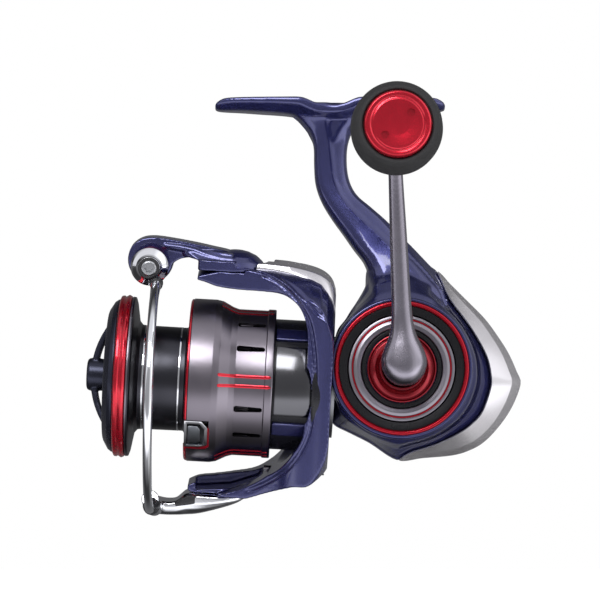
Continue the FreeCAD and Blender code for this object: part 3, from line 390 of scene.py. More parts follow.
def loft(name, rings, place=ROW):
    """Rings of equal count, capped at both ends."""
    count = len(rings[0])
    verts = [v for ring in rings for v in ring]
    faces = ring_faces(len(rings), count, closed_rows=False)
    faces.append(tuple(range(count))[::-1])
    faces.append(tuple(range((len(rings) - 1) * count, len(rings) * count)))
    return to_mesh(name, verts, faces, place)


def tube(name, path, radius, place=ROW, sides=24, taper=None):
    """A round tube along points, with a radius at each point if taper is given."""
    path = [Vector(p) for p in path]
    rings = []
    normal = None
    for i, point in enumerate(path):
        along = (path[min(i + 1, len(path) - 1)] - path[max(i - 1, 0)]).normalized()
        if normal is None:
            normal = along.orthogonal().normalized()
        normal = (normal - along * normal.dot(along)).normalized()
        side = along.cross(normal)
        size = radius * (taper[i] if taper else 1)
        rings.append([point + (normal * math.cos(a) + side * math.sin(a)) * size
                      for a in (2 * math.pi * k / sides for k in range(sides))])
    return loft(name, rings, place)


def superellipse(power, count):
    """A squared-off unit circle."""
    out = []
    for k in range(count):
        a = 2 * math.pi * k / count
        c, s = math.cos(a), math.sin(a)
        out.append((math.copysign(abs(c) ** (2 / power), c), math.copysign(abs(s) ** (2 / power), s)))
    return out


def box_mesh(name, x_range, y_range, z_range, place):
    verts = [(x, y, z) for x in x_range for y in y_range for z in z_range]
    faces = [(0, 1, 3, 2), (4, 6, 7, 5), (0, 4, 5, 1), (2, 3, 7, 6), (0, 2, 6, 4), (1, 5, 7, 3)]
    return to_mesh(name, verts, faces, place)


def wound(outline, sense):
    """The outline, reversed when needed so that its faces look outward."""
    area = sum(a[0] * b[1] - b[0] * a[1] for a, b in zip(outline, outline[1:] + outline[:1]))
    return list(outline) if area * sense > 0 else list(outline)[::-1]


def extruded(name, low_ring, high_ring, place):
    """Two matching outlines, capped and joined by their sides."""
    count = len(low_ring)
    faces = [tuple(range(count))[::-1], tuple(range(count, 2 * count))]
    faces += ring_faces(2, count, closed_rows=False)
    return to_mesh(name, low_ring + high_ring, faces, place)


def prism_mesh(name, outline, low, high, place):
    """An outline in the local x, z plane, extruded along y from low to high."""
    outline = wound(outline, -1)
    return extruded(name, [(x, low, z) for x, z in outline], [(x, high, z) for x, z in outline], place)


def plate_mesh(name, outline, low, high, place):
    """An outline in the local x, y plane, extruded along z from low to high."""
    outline = wound(outline, 1)
    return extruded(name, [(x, y, low) for x, y in outline], [(x, y, high) for x, y in outline], place)


def joined(name, meshes):
    """Several meshes as one."""
    work = bmesh.new()
    for mesh in meshes:
        work.from_mesh(mesh)
    result = bpy.data.meshes.new(name)
    work.to_mesh(result)
    work.free()
    return result


def applied(mesh, *modifiers):
    """The mesh after modifiers, each (kind, {settings})."""
    item = bpy.data.objects.new("work", mesh)
    bpy.context.collection.objects.link(item)
    for kind, settings in modifiers:
        modifier = item.modifiers.new(kind, kind)
        for key, value in settings.items():
            setattr(modifier, key, value)
    result = bpy.data.meshes.new_from_object(item.evaluated_get(bpy.context.evaluated_depsgraph_get()))
    bpy.data.objects.remove(item)
    return result


def carved(mesh, cutters, operation="DIFFERENCE"):
    """A boolean of the mesh with one mesh made of all the cutters."""
    tool = bpy.data.objects.new("cutter", joined("cutter", cutters))
    bpy.context.collection.objects.link(tool)
    result = applied(mesh, ("BOOLEAN", {"object": tool, "operation": operation, "solver": "EXACT",
                                        "use_self": True}))
    bpy.data.objects.remove(tool)
    return result


def melted(name, meshes, voxel, smoothing):
    """Meshes fused into one cast skin with soft fillets."""
    return applied(joined(name, meshes), ("REMESH", {"mode": "VOXEL", "voxel_size": voxel * MM}),
                   ("SMOOTH", {"iterations": smoothing, "factor": 0.5}))


def softened(mesh, width, segments=3, angle=30):
    """Bevelled edges on a hard-edged mesh."""
    return applied(mesh, ("BEVEL", {"width": width * MM, "segments": segments, "limit_method": "ANGLE",
                                    "angle_limit": math.radians(angle), "harden_normals": False}))


# ------------------------------------------------------------------ body casting
# Outlines in the x, z plane of the frame: the whole casting, and where the rear cover meets it.
CENTRE = LEVEL @ Vector((0, 0, 0))
OUTLINE = [(-10.5, -47.7), (-9.9, -51.9), (-7.7, -56.1), (-5.5, -59.4), (-4.1, -61.7), (-1.9, -64.7),
           (-0.7, -70.0), (-0.4, -78.0), (-0.4, -86.0), (-0.6, -90.3), (-5.4, -93.0), (-10.9, -95.8),
           (-18.5, -100.5), (-25.6, -99.9), (-34.2, -99.1), (-39.4, -97.4), (-42.8, -95.2), (-46.0, -91.9),
           (-48.9, -88.0), (-51.1, -83.9), (-52.6, -79.2), (-51.5, -76.1), (-49.3, -71.1), (-46.1, -66.0),
           (-42.7, -61.4), (-38.1, -56.7), (-33.3, -51.9), (-29.0, -47.7), (-20.0, -44.5)]
COVER_LINE = [(-28.4, -46.0), (-30.4, -51.0), (-33.0, -56.8), (-38.2, -64.0), (-42.6, -72.0), (-43.9, -78.0),
              (-43.6, -81.5), (-41.4, -87.5), (-38.6, -90.7), (-35.0, -93.3), (-29.0, -96.2), (-22.0, -98.4),
              (-18.3, -100.6)]
OUTLINE_CURVE = spline(OUTLINE, 5, closed=True)
COVER_CURVE = spline(COVER_LINE, 5)
RAYS = 240
BACK_FACE = 18.2


def reach(line, angle, closed):
    """Distance from the drive axis to a line, in a direction in the x, z plane."""
    dx, dz = math.cos(angle), math.sin(angle)
    best = None
    count = len(line)
    for i in range(count if closed else count - 1):
        (x1, z1), (x2, z2) = line[i], line[(i + 1) % count]
        x1, z1, x2, z2 = x1 - CENTRE.x, z1 - CENTRE.z, x2 - CENTRE.x, z2 - CENTRE.z
        ex, ez = x2 - x1, z2 - z1
        det = dx * ez - dz * ex
        if abs(det) < 1e-9:
            continue
        t = (x1 * ez - z1 * ex) / det
        u = (x1 * dz - z1 * dx) / det
        if t > 0 and -1e-6 <= u <= 1 + 1e-6:
            best = t if best is None else max(best, t)
    return best


def polar(angle, radius, y):
    return Vector((CENTRE.x + radius * math.cos(angle), y, CENTRE.z + radius * math.sin(angle)))


def clear_of_rotor(point):
    """Keep a point of the body behind the rotor's back face."""
    local = SPOOL.inverted() @ point
    if local.x > BACK_FACE and abs(local.z) < 30:
        local.x = BACK_FACE
    return SPOOL @ local


def body_casting():
    """Housing, stem, foot and gusset fused in one skin, and the machined rim of the side plate."""
    rings = []
    for k in range(RAYS):
        angle = 2 * math.pi * k / RAYS
        far = reach(OUTLINE_CURVE, angle, True)
        edge = reach(COVER_CURVE, angle, False)
        top = max(0.0, math.cos(angle - math.radians(65))) ** 3
        if edge and far - edge > 0.4:
            rear = min(1.0, (far - edge) / 6)
            ridge = (9.0 * rear + 4.0 * (1 - rear)) * 0.84
            last = edge - 0.1
            inside = edge + 0.35
            outer = [(max(inside, far - 1.4), 0.0), (max(inside, far - 1.5), 2.2 * rear),
                     (max(inside, far - 3.3), 4.3 * rear), (edge + 0.3, ridge - 0.5), (last, ridge)]
        else:
            ridge = 5.0 + 5.5 * top
            outer = [(far, 0.0), (far, 0.9), (far, 1.8), (far, 2.6), (far - 0.5, 3.3)]
            last = far
        rim = 19.5
        gap = max(0.3, last - rim)
        inner = [(rim + gap * 0.45, ridge + (16.8 - ridge) * 0.42), (rim + min(1.6, gap * 0.2), 16.2),
                 (rim, 17.6)]
        near = outer + inner + [(rim - 0.4, 18.0), (16.0, 18.0), (8.0, 18.0), (0.5, 18.0)]
        boss = 13.4
        spread = max(0.3, far - boss)
        behind = [(boss + spread * 0.35, -12.6), (boss + 1.0, -14.6), (boss, -16.2), (boss - 0.8, -16.9),
                  (6.0, -17.0), (0.5, -17.0)]
        back = [(r, -y) for r, y in outer[1:]] + behind
        rings.append([clear_of_rotor(polar(angle, r, y)) for r, y in back[::-1] + near])
    count = len(rings[0])
    verts = [v for ring in rings for v in ring]
    faces = []
    for i in range(len(rings)):
        j = (i + 1) % len(rings)
        for k in range(count - 1):
            faces.append((i * count + k, j * count + k, j * count + k + 1, i * count + k + 1))
    faces.append(tuple(i * count for i in range(len(rings))))
    faces.append(tuple(i * count + count - 1 for i in range(len(rings)))[::-1])
    hull = to_mesh("hull", verts, faces)

    # stem: height, front, rear, crease, half thickness
    table = [(-1.6, 9.2, -9.2, 0.2, 6.6), (-4.5, 8.3, -8.8, 0.1, 5.6), (-8.0, 6.5, -6.8, 0.0, 4.7),
             (-12.8, 4.7, -5.0, -0.6, 4.2), (-18.4, 4.5, -4.7, -1.2, 4.1), (-23.2, 4.2, -5.5, -1.9, 4.2),
             (-27.0, 3.2, -7.6, -3.6, 4.5), (-30.4, 1.6, -11.5, -6.2, 4.9), (-34.3, -0.9, -15.9, -10.2, 5.4),
             (-38.0, -3.6, -19.4, -14.3, 6.0), (-42.0, -6.4, -23.3, -18.4, 6.9),
             (-46.0, -9.4, -27.0, -22.6, 8.2), (-50.0, -10.4, -30.6, -26.0, 9.8),
             (-54.5, -8.8, -33.0, -29.4, 11.4), (-60.0, -6.0, -34.5, -31.0, 12.8)]
    sections = []
    for height, front, rear, crease, half in spline(table, 4):
        wide = front - rear
        step = 0.16 * wide
        near = [(front, 0.0), (front - 0.15, half * 0.5), (front - 0.10 * wide, half * 0.86),
                (front - 0.22 * wide, half * 0.98), (crease + 0.10 * wide, half * 1.02),
                (crease, half * 0.93), (crease - 0.03 * wide, half * 0.85),
                (crease - 0.07 * wide, half * 0.88), (rear + step * 0.8, half * 0.74),
                (rear + 0.2, half * 0.42), (rear, 0.0)]
        far = [(x, -y) for x, y in near[1:-1]][::-1]
        sections.append([(x, y, height) for x, y in near + far])
    stem = loft("stem", sections)

    # foot: station, top, underside, half width
    half_foot = [(32.0, -1.9, -3.0, 2.9), (31.6, -1.3, -3.25, 3.6), (30.4, -0.55, -3.4, 4.5),
                 (28.6, -0.12, -3.5, 5.3), (25.0, -0.08, -3.6, 6.3), (20.0, -0.08, -3.9, 7.0),
                 (13.0, -0.08, -4.4, 7.4), (8.6, -0.1, -5.2, 7.5), (6.4, -0.7, -6.6, 7.4),
                 (3.5, -1.9, -7.4, 7.2)]
    other_half = [(-x, top, low, half) for x, top, low, half in half_foot]
    stations = other_half + [(0.0, -2.2, -7.6, 7.1)] + half_foot[::-1]
    slices = []
    for x, top, low, half in spline(stations, 3):
        keel = min(0.62, 0.35 + abs(x) / 60)
        waist = top + (low - top) * 0.42
        slices.append([(x, half, top - 0.3), (x, half - 0.3, top), (x, 0, top), (x, 0.3 - half, top),
                       (x, -half, top - 0.3), (x, -half, waist), (x, -half * keel, low + 0.2),
                       (x, -half * keel * 0.6, low), (x, half * keel * 0.6, low), (x, half * keel, low + 0.2),
                       (x, half, waist)])
    foot = loft("foot", slices)

    # gusset between foot and stem: height, front, rear, half thickness
    table = [(-3.0, 14.0, -13.5, 4.6), (-4.6, 11.0, -10.5, 4.6), (-6.4, 8.8, -8.2, 4.6),
             (-9.0, 6.6, -6.0, 4.4), (-12.5, 4.8, -4.3, 4.0)]
    gusset = []
    for height, front, rear, half in table:
        flat = [(front - 1.2, half * 0.8), (front - 3.2, half), (rear + 3.2, half), (rear + 1.2, half * 0.8)]
        ring = [(front, 0)] + flat + [(rear, 0)] + [(x, -y) for x, y in flat[::-1]]
        gusset.append([(x, y, height) for x, y in ring])
    skin = melted("body_casting", [hull, stem, foot, loft("gusset", gusset)], voxel=0.42, smoothing=6)
    rim = lathe_mesh("rim", [(17.4, 16.5), (19.2, 16.5), (19.2, 18.32), (20.7, 18.32), (20.75, 18.95, 0.4),
                             (20.0, 19.3, 0.4), (17.3, 19.5)], SIDE, 0.15, 160)
    wrap("body_casting", joined("body_casting", [skin, rim]), paint, "housing", ["main_body"],
         50)


def rear_cover():
    """The polished cover: a shell from the cover line round the casting's outline to the far side."""
    # directions from the drive axis to the cover line's upper and lower ends
    first = math.atan2(-46.2 - CENTRE.z, -28.5 - CENTRE.x)
    last = math.atan2(-100.4 - CENTRE.z, -18.4 - CENTRE.x) + 2 * math.pi
    rings = []
    steps = 90
    for k in range(steps + 1):
        angle = first + (last - first) * k / steps
        far = reach(OUTLINE_CURVE, angle, True)
        edge = reach(COVER_CURVE, angle, False)
        if edge is None or far is None or far - edge < 0.25:
            continue
        rear = min(1.0, (far - edge) / 6)
        ridge = 9.2 * rear + 4.2 * (1 - rear)
        bevel = min(2.6, (far - edge) * 0.3)
        low = 2.2
        shape = [(edge + 0.02, ridge - 1.2), (edge, ridge), (edge + 0.25, ridge + 0.12),
                 (far - bevel - 0.2, 5.9 * rear + 3.2 * (1 - rear)),
                 (far - bevel, 5.7 * rear + 3.0 * (1 - rear)), (far - 0.25, low + 0.4), (far, low),
                 (far, 0.0)]
        inner = [(max(edge + 0.02, r - 0.9), y * 0.86) for r, y in shape]
        loop = shape + [(r, -y) for r, y in shape[-2::-1]] + [(r, -y) for r, y in inner[:-1]] + inner[::-1]
        rings.append([polar(angle, r, y) for r, y in loop])
    count = len(rings[0])
    verts = [v for ring in rings for v in ring]
    faces = ring_faces(len(rings), count, closed_rows=False)
    faces.append(tuple(range(count)))
    faces.append(tuple(range((len(rings) - 1) * count, len(rings) * count))[::-1])
    mesh = to_mesh("rear_cover_shell", verts, faces)
    wrap("rear_cover_shell", mesh, cover_metal, "housing", ["rear_cover"], 30)


# ------------------------------------------------------------------ side plate, handle and knob
def side_plate():
    """The rings round the drive axis on the handle side, from the outside in."""
    lathe("side_plate_disc", [
        (12.0, 9.3), (12.0, 16.3), (19.4, 16.35), (19.4, 16.95), (20.3, 16.95), (20.3, 16.4), (20.1, 14.74),
        (17.0, 14.72), (16.8, 9.3)], SIDE, black_ring, "housing", ["side_plate"], 0.12)
    lathe("side_plate_lock_ring_turned", [
        (19.25, 17.0), (19.25, 18.28), (20.6, 18.28), (21.1, 17.95, 0.3), (21.1, 17.35, 0.3), (20.6, 17.0)],
        SIDE, red_side, "housing", ["side_plate_lock_ring"], 0.2, 160)
    lathe("side_plate_face", [
        (17.0, 10.85), (17.0, 14.7), (19.2, 14.7), (19.9, 14.35, 0.2), (20.05, 13.62, 0.1),
        (19.75, 13.55, 0.05), (19.75, 13.1, 0.05), (20.1, 13.02, 0.1), (20.4, 12.2, 0.5), (20.2, 11.2),
        (19.8, 10.85)], SIDE, silver_ring, "housing", ["side_plate_face_ring"], 0.1, 160)
    lathe("side_plate_red_line", [(19.6, 13.14), (19.6, 13.5), (19.92, 13.5), (19.92, 13.14)], SIDE, red_side,
          "housing", [], 0.05, 160)
    lathe("handle_seal_ring", [
        (17.0, 9.6), (17.0, 10.82), (20.0, 10.82), (20.3, 10.6), (20.3, 9.75), (20.0, 9.6)], SIDE, black_ring,
        "housing", ["handle_seal"], 0.12, 160)


def handle():
    """The red dish round the shaft, the shaft's sleeve, and the forged arm with its knob post."""
    # The dish takes the darker red copy, which is painted shade.
    lathe("handle_collar_dish", [
        (17.8, 4.8), (17.8, 9.35), (20.2, 9.4), (20.6, 9.3, 0.15), (20.7, 9.0, 0.15), (20.2, 8.7, 0.1),
        (20.1, 8.2, 0.4), (20.9, 7.1, 0.8), (22.6, 6.5, 0.8), (24.6, 6.25, 0.2), (25.1, 6.05, 0.12),
        (25.1, 5.6), (22.0, 5.4), (20.0, 4.8)], CRANK, red_dish_painted_shade, "crank", ["handle_collar"],
        0.15, 128)
    lathe("handle_shaft_sleeve", [
        (10, 0), (10, 2.35), (17.0, 2.35), (17.0, 4.6), (26.0, 4.6), (28.0, 4.2), (30.4, 4.2), (30.4, 0)],
        CRANK, steel, "crank", ["handle_shaft"], 0.15, 64)
    # arm: height above the drive axis, reach along y, half width across, half depth along y
    path = [(-5.6, 36.2, 0.4, 0.6), (-5.4, 36.2, 1.7, 2.2), (-4.7, 36.2, 3.2, 3.6), (-3.2, 36.2, 4.8, 4.7),
            (-1.2, 36.2, 5.8, 5.2), (0.6, 36.3, 6.1, 5.2), (2.4, 36.4, 5.9, 5.0), (4.6, 36.6, 5.1, 4.6),
            (7.0, 36.9, 4.0, 4.0), (9.6, 37.3, 3.2, 3.4), (13.0, 37.8, 2.8, 3.0), (18.0, 38.6, 2.6, 2.8),
            (26.0, 39.8, 2.45, 2.6), (36.0, 41.4, 2.25, 2.4), (46.0, 43.3, 2.0, 2.2), (54.0, 45.2, 1.85, 2.1),
            (58.5, 46.4, 1.85, 2.1), (61.2, 46.9, 1.7, 1.9), (62.4, 47.0, 1.0, 1.1), (62.7, 47.0, 0.3, 0.3)]
    rings = []
    for height, out, wide, deep in spline(path, 4):
        rings.append([(out + deep * b, wide * a, height) for a, b in superellipse(2.2, 40)])
    arm = loft("arm", rings, CRANK)
    root = lathe_mesh("root", [(26.2, 0), (26.2, 5.05), (27.0, 5.2), (33.0, 5.5), (36.0, 5.6),
                               (38.8, 5.1, 0.8), (40.6, 3.4, 1.0), (41.3, 1.6, 0.8), (41.4, 0)], CRANK, 0.6,
                      64)
    boss = lathe_mesh("boss", [(43.7, 0), (43.7, 2.5), (44.4, 3.1), (48.6, 3.1), (49.6, 2.8), (49.6, 0)],
                      KNOB, 0.3, 64)
    skin = melted("handle_arm_forged", [arm, root, boss], voxel=0.25, smoothing=10)
    wrap("handle_arm_forged", skin, arm_metal, "crank", ["handle_arm"], 80)


def knob():
    """The foam grip and the turned cap with its two holes."""
    lathe("knob_grip_foam", [
        (51.0, 3.45), (51.0, 5.6, 0.5), (53.0, 8.7, 1.5), (56.2, 11.0, 2.0), (60.2, 11.75, 2),
        (64.5, 11.95, 2), (68.6, 11.65, 2), (71.6, 10.8, 1.4), (73.0, 9.9, 0.9), (73.0, 9.2, 0.3),
        (72.4, 8.85), (71.7, 8.8), (71.7, 3.45)], KNOB, foam, "knob", ["knob_grip"], 0.3, 96,
        60)
    cap = lathe_mesh("knob_cap_turned", [
        (71.75, 0), (71.75, 8.7), (73.2, 8.75), (74.0, 8.45, 0.3), (74.3, 8.05, 0.3), (74.2, 7.2, 0.3),
        (73.9, 6.85, 0.12), (73.95, 6.6, 0.1), (74.1, 6.3, 0.3), (73.75, 3.0, 1.5), (73.7, 0)], KNOB, 0.15,
        128)
    holes = []
    for angle in (38, 218):
        a = math.radians(angle)
        holes.append(lathe_mesh("hole", [(72.9, 0), (72.9, 0.95), (75.0, 1.15), (75.0, 0)],
                                KNOB @ shift(0, 4.4 * math.cos(a), 4.4 * math.sin(a)), 0, 32))
    wrap("knob_cap_turned", carved(cap, holes), red_knob, "knob", ["knob_cap"], 30)


# ------------------------------------------------------------------ rotor
EAR = 31.4
PIVOT = 46.5
FLANK_RADIUS = 32.9
SEAT_RADIUS = 8.75
ARC_RADIUS = 12.2
PIVOT_UP = ROTOR @ shift(PIVOT, 0, 0) @ turn(-90, "Y")
PIVOT_DOWN = ROTOR @ shift(PIVOT, 0, 0) @ turn(90, "Y")
ARC_ANGLES = [math.radians(degrees) for degrees in range(-180, 1, 10)]
BAIL_SWEEP = [(PIVOT + ARC_RADIUS * math.cos(a), ARC_RADIUS * math.sin(a)) for a in ARC_ANGLES]
ARM_PLAN = [(17, -21.2), (20.5, -20.7), (23, -19.7), (26.6, -18.7), (29.2, -17.0), (32.5, -13.9),
            (37, -10.8), (43, -8.6), (50, -8.0), (60, -7.6)]
WINDOW = [(60, 29.6), (54.8, 28.4), (51.0, 27.3), (45.3, 26.8), (38.4, 26.9), (34.6, 26.9), (32.0, 26.4),
          (29.4, 24.9), (27.6, 22.6), (26.4, 19.6), (25.8, 16.0), (25.7, 8.0), (25.8, 0.0), (25.6, -6.0),
          (25.8, -11.4), (28.4, -16.6), (31.3, -20.7), (34.4, -23.3), (38.4, -25.3), (44, -26.3),
          (50, -27.3), (54.0, -27.9), (57.4, -29.4), (60, -30)]


def level_at(x, table):
    """The second value of a table of stations, read at x. It stays level past the ends."""
    for (x1, y1), (x2, y2) in zip(table, table[1:]):
        if x <= x2:
            return y1 + (y2 - y1) * max(0.0, x - x1) / (x2 - x1)
    return table[-1][1]


def flank(x, z, side, depth=0.0):
    """A point on an arm's flank, sunk by depth."""
    y = min(-level_at(x, ARM_PLAN), math.sqrt(max(1.0, FLANK_RADIUS ** 2 - z * z)))
    return (x, side * (y - depth), z)


def swept(points, side, radius, depth, ends):
    """A tube along an arm's flank, thin at its ends."""
    path = [flank(p[0], p[1], side, depth) for p in spline(points, 6)]
    taper = [min(1.0, (0.25 + k) / ends, (len(path) - 0.75 - k) / ends) for k in range(len(path))]
    return tube("groove", path, radius, ROTOR, 14, taper)


def rotor():
    """Two arms cut from a turned shell, the spring in the upper one, and the drum between them."""
    shell = lathe_mesh("shell", [
        (18.8, 18.3), (18.6, 24.2), (19.2, 26.4), (20.8, 29.0), (22.8, 30.9), (25.5, 31.9), (30.0, 32.5),
        (36.0, 33.2), (44.0, 33.4), (50.0, 32.6), (56.4, 30.9), (56.8, 30.4), (56.8, 23.9), (48.0, 23.5),
        (43.4, 23.2), (42.0, 22.2), (29.0, 21.4), (25.0, 20.2), (23.0, 18.3)], ROTOR, 0, 200)
    plan = spline(ARM_PLAN, 4)
    mask = plate_mesh("mask", plan + [(x, -y) for x, y in plan[::-1]], -40, 40, ROTOR)
    window = prism_mesh("window", spline(WINDOW, 5), -40, 40, ROTOR)
    under = spline([(15, -20.0), (18.6, -20.6), (23.6, -24.6), (27.3, -25.2), (29.9, -26.2), (34.7, -28.4),
                    (40.6, -31.0), (46.0, -32.4), (50.0, -33.4)], 4)
    relief = prism_mesh("relief", under + [(50, -50), (15, -50)], -40, 40, ROTOR)
    near_edge = spline([(33.0, -21.6), (36.8, -25.2), (41.5, -28.1), (46.0, -29.9), (49.7, -31.3),
                        (54, -32.4)], 4)
    near_cut = prism_mesh("near_cut", near_edge + [(60, -32.4), (60, -19), (33, -19)], 3.6, 20, ROTOR)
    channel = prism_mesh("channel", [(34, -22), (37.5, -26.4), (45, -29.2), (54.6, -30.2), (54.6, -20),
                                     (34, -20)], -4.6, 3.7, ROTOR)
    arms = applied(joined("arms", [shell]), ("WELD", {"merge_threshold": 1e-7}))
    arms = carved(arms, [mask], "INTERSECT")
    seat = lathe_mesh("seat", [(EAR, 0), (EAR, SEAT_RADIUS), (50, SEAT_RADIUS), (50, 0)], PIVOT_UP, 0, 64)
    front = plate_mesh("front", [(PIVOT, -11), (PIVOT, 11), (70, 11), (70, -11)], EAR, 50, ROTOR)
    arc = plate_mesh("arc", BAIL_SWEEP, EAR, 50, ROTOR)
    under_seat = lathe_mesh("under_seat", [(31.05, 0), (31.05, 11.4), (50, 11.4), (50, 0)], PIVOT_DOWN, 0, 64)
    for cutter in (window, relief, near_cut, channel, seat, front, arc, under_seat):
        arms = carved(arms, [cutter])
    long_groove = [(41.4, 31.9), (38.3, 31.4), (34.4, 29.6), (30.9, 27.2), (28.3, 24.4), (25.9, 20.6),
                   (24.7, 16.5), (23.7, 10.5), (23.3, 5.0), (23.3, 0.0), (23.6, -6.0), (24.6, -11.6),
                   (27.0, -16.8), (30.0, -21.0), (33.6, -24.4), (37.6, -27.2), (41.6, -29.2)]
    pocket = lathe_mesh("pocket", [(20, 0), (20, 4.3), (29.9, 4.3), (29.9, 0)], PIVOT_UP, 0, 48)
    arms = carved(arms, [pocket])
    edge_groove = [(35.4, 31.8), (30.6, 29.8), (27.1, 27.4), (23.2, 25.0), (20.0, 23.4)]
    short_groove = [(28.6, 27.6), (25.7, 25.4), (22.5, 22.6), (19.6, 20.6)]
    for side in (1, -1):
        for line, radius, depth, ends in ((long_groove, 0.62, 0.05, 3), (edge_groove, 1.25, -0.25, 9),
                                          (short_groove, 0.95, -0.15, 7)):
            arms = carved(arms, [swept(line, side, radius, depth, ends)])
    wrap("rotor_shell", melted("rotor_shell", [arms], voxel=0.29, smoothing=5), rotor_paint, "rotor",
         ["rotor"], 100)
    coil = []
    for k in range(181):
        a = math.radians(20 * k)
        coil.append((PIVOT + 3.2 * math.cos(a), 3.2 * math.sin(a), 27.3 + 2.2 * k / 180))
    wrap("bail_spring_coil", tube("coil", coil, 0.33, ROTOR, 10), steel, "rotor",
         ["bail_spring", "bail_spring_post"], 60)
    lathe("rotor_drum", [
        (18.8, 16.7), (18.8, 20.2), (19.2, 20.4), (23.4, 20.2), (24.0, 19.8), (24.0, 18.0), (40.6, 18.0),
        (41.0, 17.7), (41.0, 16.7), (33.0, 16.7), (33.0, 3.1), (30.6, 3.1), (30.6, 16.7)], ROTOR,
        drum_black, "rotor", [], 0.2, 160)


def curved_plate(name, x_last, first, wide, high, steps):
    """A plate of the drum, wrapped round the x axis through an angle."""
    x_first, low = 24.1, 17.6
    rings = []
    for step in range(steps + 1):
        a = math.radians(first + wide * step / steps)
        rings.append([(x, r * math.cos(a), r * math.sin(a)) for x, r in
                      ((x_first, low), (x_first, high), (x_last, high), (x_last, low))])
    return loft(name, rings, SPOOL)


def rotor_trim():
    """The drum's ribs and panels, and the bright cover along the back of the upper arm."""
    ribs = [curved_plate("rib", 34.4, first, 13, 18.8, 8) for first in (38, -51, 129, -142)]
    wrap("rotor_drum_ribs", softened(joined("ribs", ribs), 0.25), rotor_paint, "rotor", [], 40)
    for index, first in enumerate((-31, 149)):
        panel = curved_plate("panel", 34.2, first, 62, 18.45, 24)
        wrap("rotor_drum_panel_%d" % (index + 1), softened(panel, 0.15, 2), drum_panel, "rotor",
             [], 40)
    edge = [(45.0, 34.0, 33.5, 6.6), (39.4, 34.1, 33.3, 6.6), (33.1, 33.9, 32.7, 7.0),
            (29.9, 33.5, 31.9, 7.6), (26.8, 33.0, 30.9, 8.5), (23.6, 32.1, 29.4, 9.4),
            (21.2, 30.8, 27.7, 9.9), (19.6, 29.0, 25.8, 10.0), (18.7, 26.6, 23.8, 10.0)]
    rings = []
    for x, top, low, half in spline(edge, 6):
        flat = half - (top - low) * 0.8
        near = [(x, half, low - 1.6), (x, half, low - 0.25), (x, half - 0.15, low),
                (x, flat + 0.25, top - 0.2), (x, flat - 0.3, top), (x, flat * 0.5, top + 0.05)]
        rings.append(near + [(x, -y, z) for x, y, z in near[::-1]])
    cover = loft("rotor_arm_cover", rings, ROTOR)
    cover = carved(cover, [plate_mesh("arc", BAIL_SWEEP, 20, 50, ROTOR)])
    seat = lathe_mesh("seat", [(20, 0), (20, SEAT_RADIUS), (50, SEAT_RADIUS), (50, 0)], PIVOT_UP, 0, 64)
    cover = carved(cover, [seat])
    wrap("rotor_arm_cover", softened(cover, 0.1, 2, 40), cover_metal, "rotor", [], 40)


# ------------------------------------------------------------------ bail
def bail_arm():
    """The dome on the pivot, the link and the roller's head in one skin, and both pivot screws."""
    floor = EAR + 0.12
    disc = lathe_mesh("disc", [(floor, 0), (floor, 8.1), (32.6, 8.1), (34.0, 7.2), (35.4, 5.6), (36.4, 3.4),
                               (36.8, 1.6), (36.9, 0)], PIVOT_UP, 0.5, 64)
    top = [(42.4, 34.0), (43.6, 35.0), (46.0, 35.8), (49.1, 36.6), (52.0, 37.1), (58.6, 38.2), (64.9, 39.0),
           (69.6, 39.3), (73.0, 38.5), (75.4, 36.4), (76.2, 33.5), (75.5, 30.4), (73.6, 28.2)]
    low = [(67.0, 27.8), (65.6, 30.0), (64.0, 32.2), (62.0, 33.7), (59.6, 34.3), (57.6, 34.4)]
    outline = spline(top, 4) + spline(low, 4)
    link = prism_mesh("link", outline + [(56.8, 34.0), (50.0, 34.0), (42.4, 34.0)], -3.6, 2.9, ROTOR)
    block_plan = [(46.5, -6.4), (50, -5.8), (56.0, -4.6), (56.8, -4.0), (56.8, 7.0), (56.2, 7.6), (50, 8.0),
                  (46.5, 8.1)]
    block = plate_mesh("block", block_plan, floor, 34.3, ROTOR)
    shoulder = loft("shoulder", [
        [(47.5, -4.5, 34.0), (47.5, 6.8, 34.0), (47.5, 5.6, 36.2), (47.5, -3.4, 36.2)],
        [(52.0, -4.5, 34.0), (52.0, 6.8, 34.0), (52.0, 5.0, 36.6), (52.0, -3.4, 36.6)],
        [(56.6, -4.0, 34.0), (56.6, 6.2, 34.0), (56.6, 4.2, 36.4), (56.6, -3.4, 36.8)],
        [(61.0, -3.6, 34.8), (61.0, 3.8, 34.8), (61.0, 3.4, 36.8), (61.0, -3.4, 37.2)]], ROTOR)
    head = lathe_mesh("head", [(-3.9, 0), (-3.9, 5.4), (-3.0, 6.3), (2.2, 6.3), (3.0, 5.9), (3.0, 0)],
                      ROTOR @ shift(70.0, 0, 33.0) @ turn(90, "Z"), 0.4, 64)
    rib = tube("rib", [(66.5, 2.6, 37.2), (62.0, 2.9, 36.9), (58.0, 3.4, 36.3), (54.5, 4.6, 35.3),
                       (50.5, 5.6, 34.6), (47.0, 6.0, 34.4)], 0.9, ROTOR, 12)
    skin = melted("bail_arm_cast", [disc, block, link, shoulder, head, rib], voxel=0.22, smoothing=7)
    wrap("bail_arm_cast", skin, rotor_paint, "bail", ["bail_arm"], 100)
    upper = lathe_mesh("upper", [(27.2, 0), (27.2, 1.6), (33.6, 1.6), (33.6, 3.0), (34.3, 2.8), (34.3, 0)],
                       PIVOT_UP, 0.15, 48)
    lower = lathe_mesh("lower", [(30.0, 0), (30.0, 1.6), (33.1, 1.6), (33.1, 2.9), (34.0, 2.8), (34.2, 2.4),
                                 (34.2, 1.5), (33.6, 1.2), (33.6, 0)], PIVOT_DOWN, 0.15, 48)
    wrap("bail_pivot_screws_turned", joined("screws", [upper, lower]), steel, "rotor",
         ["bail_pivot_screws"], 40)


